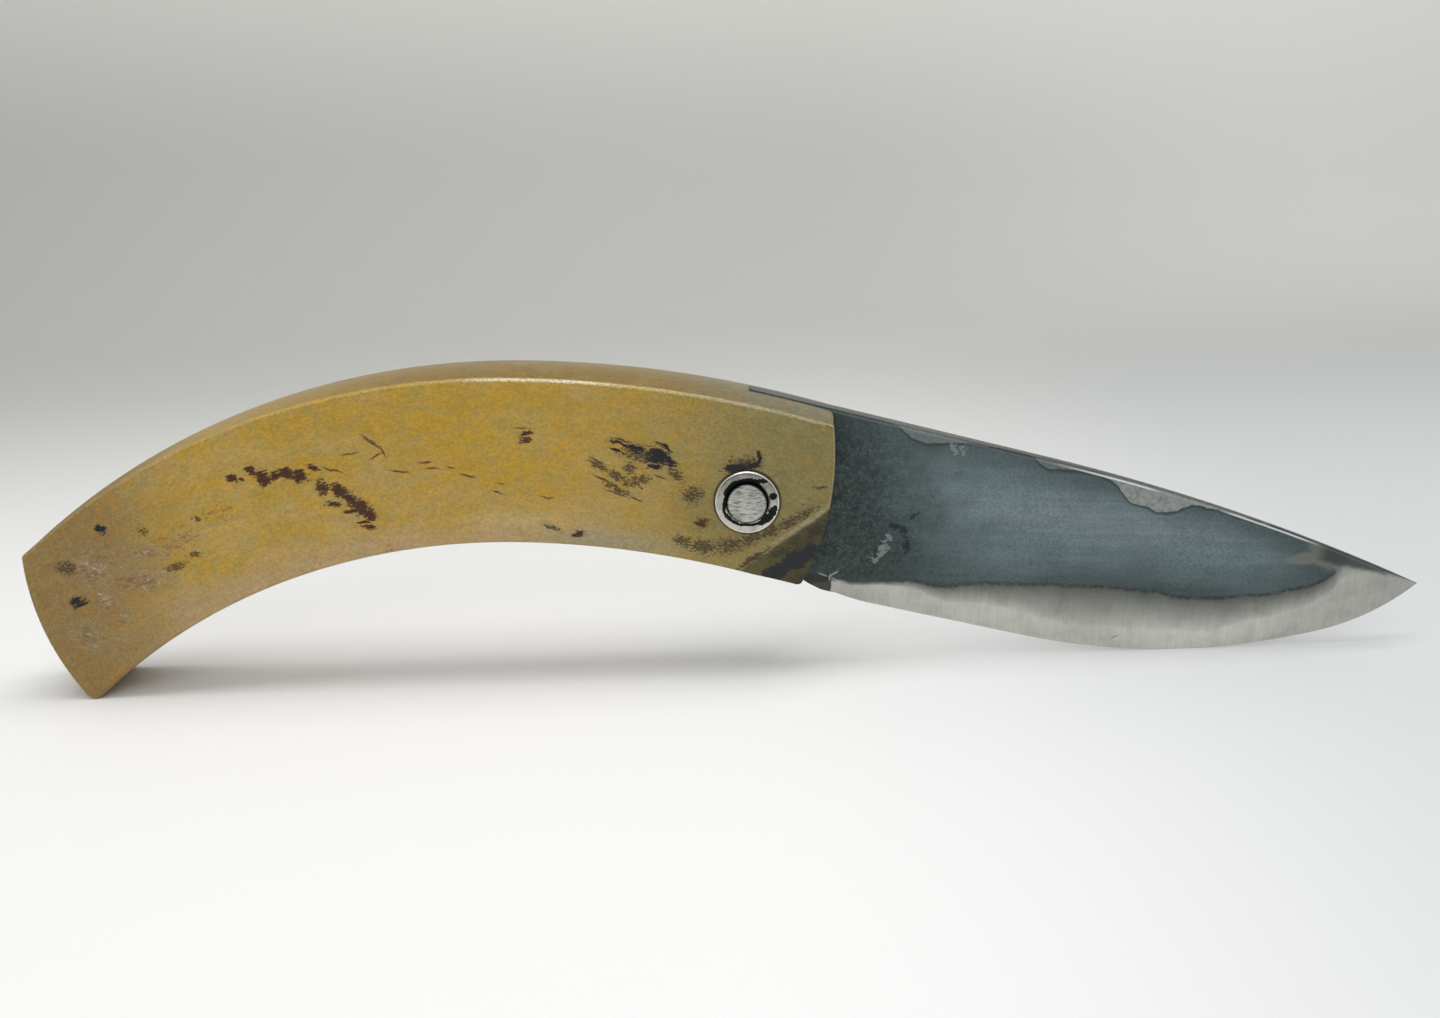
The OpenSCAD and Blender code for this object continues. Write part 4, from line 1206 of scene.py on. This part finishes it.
class KNIFE_OT_outer_washers(bpy.types.Operator):
    """Model the two outer washers, let into the horn and sunk for the pin's ends"""
    bl_idname = "knife.outer_washers"
    bl_label = "Outer Washers"

    def execute(self, context):
        s, pivot = side_view(), context.scene.knife_pivot
        base = s.half_t - pivot.seat_depth
        face = base + pivot.washer_t
        bore, outer = pivot.pin_d / 2 + pivot.fixed, pivot.washer_d / 2
        sink = pivot.head_d / 2 + pivot.sink_gap
        material = washer_material()
        profile = rounded([(bore, base, False), (outer, base, False), (outer, face - 0.02 * MM, True),
                           (mix(outer, sink, 0.35), face, False), (sink, face - 0.03 * MM, True),
                           (bore, face - pivot.sink_depth, False)], pivot.rim)
        for side, name, node in ((NEAR, "near_washer", "near_outer_washer"), (FAR, "far_washer", "far_outer_washer")):
            bm = turned_profile([(r, side * y) for r, y in profile], loop=True)
            for v in bm.verts:
                reach = math.hypot(v.co.x, v.co.z)
                if reach < outer - LIP.inside and abs(v.co.y) > face - LIP.deep:
                    uneven = noise.noise(Vector((v.co.x, v.co.z, side * LIP.apart)) / LIP.grain)
                    push = 1 + LIP.swing * max(uneven, LIP.least) * smooth(bore, sink, reach)
                    v.co.x, v.co.z = v.co.x * push, v.co.z * push
            finished(bm, name, material, "handle", node, 40)
        return {"FINISHED"}


class KNIFE_OT_inner_washers(bpy.types.Operator):
    """Finish the two inner friction washers, whose shape is the frame's own"""
    bl_idname = "knife.inner_washers"
    bl_label = "Inner Washers"

    def execute(self, context):
        material = bronze_material()
        for node in ("near_inner_washer", "far_inner_washer"):
            mesh = frame["nodes"][node].data
            mesh.materials.clear()
            mesh.materials.append(material)
        return {"FINISHED"}


# Stage --------------------------------------------------------------------------------------------------

SHADED_PAPER, LIT_PAPER = (0.45, 0.475, 0.49), (0.9, 0.91, 0.88)

# Lamps: name, power in watts, width and length, place and aim in metres
LAMPS = (
    ("overhead", 1.75, (0.5, 0.2), (0.03, -0.02, 0.55), (0.02, 0, 0.02)),
    ("front fill", 1.5, (0.6, 0.6), (0.0, -0.7, 0.5), (0, 0, 0.02)),
)


def sheet_material(studio):
    """White paper under the knife with painted shade and light: greyer behind it, a little lighter higher up, greyer
    low on the right and lighter high on the right. Far off it glows with the room's colour.
    """
    p = Paint("paper sweep")
    x, y, z = p.split(p.place)
    # Painted shade and light: the paper is painted greyer behind the knife, lighter higher up, greyer low on the
    # right and lighter high on the right
    colour = p.coats(
        studio.paper,
        (studio.wall, p.ramp(y, 10, 250)),
        (studio.wall_top, p.ramp(z, 10, 130)),
        (SHADED_PAPER, p.ramp(x, 0, 120, 0.0, 0.52), p.ramp(y, 330, 170)),
        (LIT_PAPER, p.ramp(x, 0, 280, 0.0, 0.42), p.ramp(y, 180, 420)),
    )
    p.surface(Base_Color=colour, Roughness=0.8, Specular_IOR_Level=0.2)
    # Far off, the paper turns into a glow of the room's colour
    room = p.node("Emission", {"Color": studio.room})
    far = p.node("MixShader", {0: p.ramp(p.reach(p.place), 700, 1900), 1: p.shader.outputs[0], 2: room.outputs[0]})
    p.tree.links.new(far.outputs[0], p.output.inputs["Surface"])
    return p.material


def paper_sweep():
    """A sheet that lies flat under the knife and curves up behind it."""
    side, curve_r = 5, 0.3
    bm = bmesh.new()
    corner = bm.verts.new((-side, curve_r, 0))
    turn = bmesh.ops.spin(bm, geom=[corner], cent=(-side, curve_r, curve_r), axis=(1, 0, 0), dvec=(0, 0, 0),
                          angle=math.radians(90), steps=32, use_merge=False)
    top = next(g for g in turn["geom_last"] if isinstance(g, bmesh.types.BMVert))
    for end, place in ((corner, (-side, -side, 0)), (top, (-side, 2 * curve_r, 5 * curve_r))):
        bm.edges.new((end, bm.verts.new(place)))
    sides = bmesh.ops.extrude_edge_only(bm, edges=bm.edges[:])["geom"]
    bmesh.ops.translate(bm, verts=[g for g in sides if isinstance(g, bmesh.types.BMVert)], vec=(2 * side, 0, 0))
    bmesh.ops.recalc_face_normals(bm, faces=bm.faces)
    return bm


def area_light(name, power, size, place, aim):
    """A rectangular lamp at a place, turned towards an aim point."""
    lamp = bpy.data.lights.new(name, "AREA")
    lamp.shape = "RECTANGLE"
    lamp.energy = power
    lamp.size, lamp.size_y = size
    obj = bpy.data.objects.new(name, lamp)
    obj.location = place
    obj.rotation_euler = (Vector(aim) - Vector(place)).to_track_quat("-Z", "Y").to_euler()
    bpy.context.scene.collection.objects.link(obj)


def set_camera(scene, studio):
    """The photograph's view: pitch and yaw about the knife, then the knife's standing pose."""
    pitch, yaw = studio.pitch, studio.yaw
    turn = Matrix.Rotation(-yaw, 4, "Z")
    aim = Matrix.Translation((-studio.aim_x, 0, -studio.aim_z))
    level = Matrix.Rotation(math.radians(90) - pitch, 4, "X")
    back = Matrix.Translation(Vector((0, -math.cos(pitch), math.sin(pitch))) * studio.distance)
    data = bpy.data.cameras.new("camera")
    data.lens = studio.lens
    data.sensor_width = 36
    data.clip_start = 0.01
    camera = bpy.data.objects.new("camera", data)
    camera.matrix_world = side_view().stand @ aim @ turn.inverted() @ back @ level
    scene.collection.objects.link(camera)
    scene.camera = camera


def set_world(scene, studio):
    """Even soft light from all round."""
    world = bpy.data.worlds.new("studio")
    world.use_nodes = True
    shade = world.node_tree.nodes["Background"]
    shade.inputs["Color"].default_value = (*studio.room, 1)
    shade.inputs["Strength"].default_value = 1.0
    scene.world = world


class KNIFE_OT_stage(bpy.types.Operator):
    """Set the camera, the pale floor and the soft light"""
    bl_idname = "knife.stage"
    bl_label = "Stage"

    def execute(self, context):
        scene = context.scene
        studio = scene.knife_studio
        set_camera(scene, studio)
        sheet = as_object(paper_sweep(), "paper_sweep")
        sheet.data.shade_smooth()
        sheet.data.materials.append(sheet_material(studio))
        set_world(scene, studio)
        for lamp in LAMPS:
            area_light(*lamp)
        scene.view_settings.view_transform = "Standard"
        return {"FINISHED"}


# Panel and registration ---------------------------------------------------------------------------------

OPERATORS = (KNIFE_OT_stage, KNIFE_OT_horn, KNIFE_OT_blade, KNIFE_OT_pin, KNIFE_OT_outer_washers,
             KNIFE_OT_inner_washers)


class KNIFE_PT_parts(bpy.types.Panel):
    """Lists the settings and the pieces of the knife"""
    bl_label = "Friction Folding Knife"
    bl_idname = "KNIFE_PT_parts"
    bl_space_type = "VIEW_3D"
    bl_region_type = "UI"
    bl_category = "Knife"

    def draw(self, context):
        for name, group in GROUPS.items():
            box = self.layout.box()
            box.label(text=group.__doc__)
            for key in group.__annotations__:
                box.prop(getattr(context.scene, name), key)
        for operator in OPERATORS:
            self.layout.operator(operator.bl_idname)


CLASSES = (*GROUPS.values(), *OPERATORS, KNIFE_PT_parts)


def register():
    for cls in CLASSES:
        bpy.utils.register_class(cls)
    for name, group in GROUPS.items():
        setattr(bpy.types.Scene, name, PointerProperty(type=group))


def unregister():
    for name in GROUPS:
        delattr(bpy.types.Scene, name)
    for cls in reversed(CLASSES):
        bpy.utils.unregister_class(cls)


def main():
    """Builds the stage and every piece."""
    register()
    for operator in OPERATORS:
        group, name = operator.bl_idname.split(".")
        getattr(getattr(bpy.ops, group), name)()


if __name__ == "__main__":
    main()
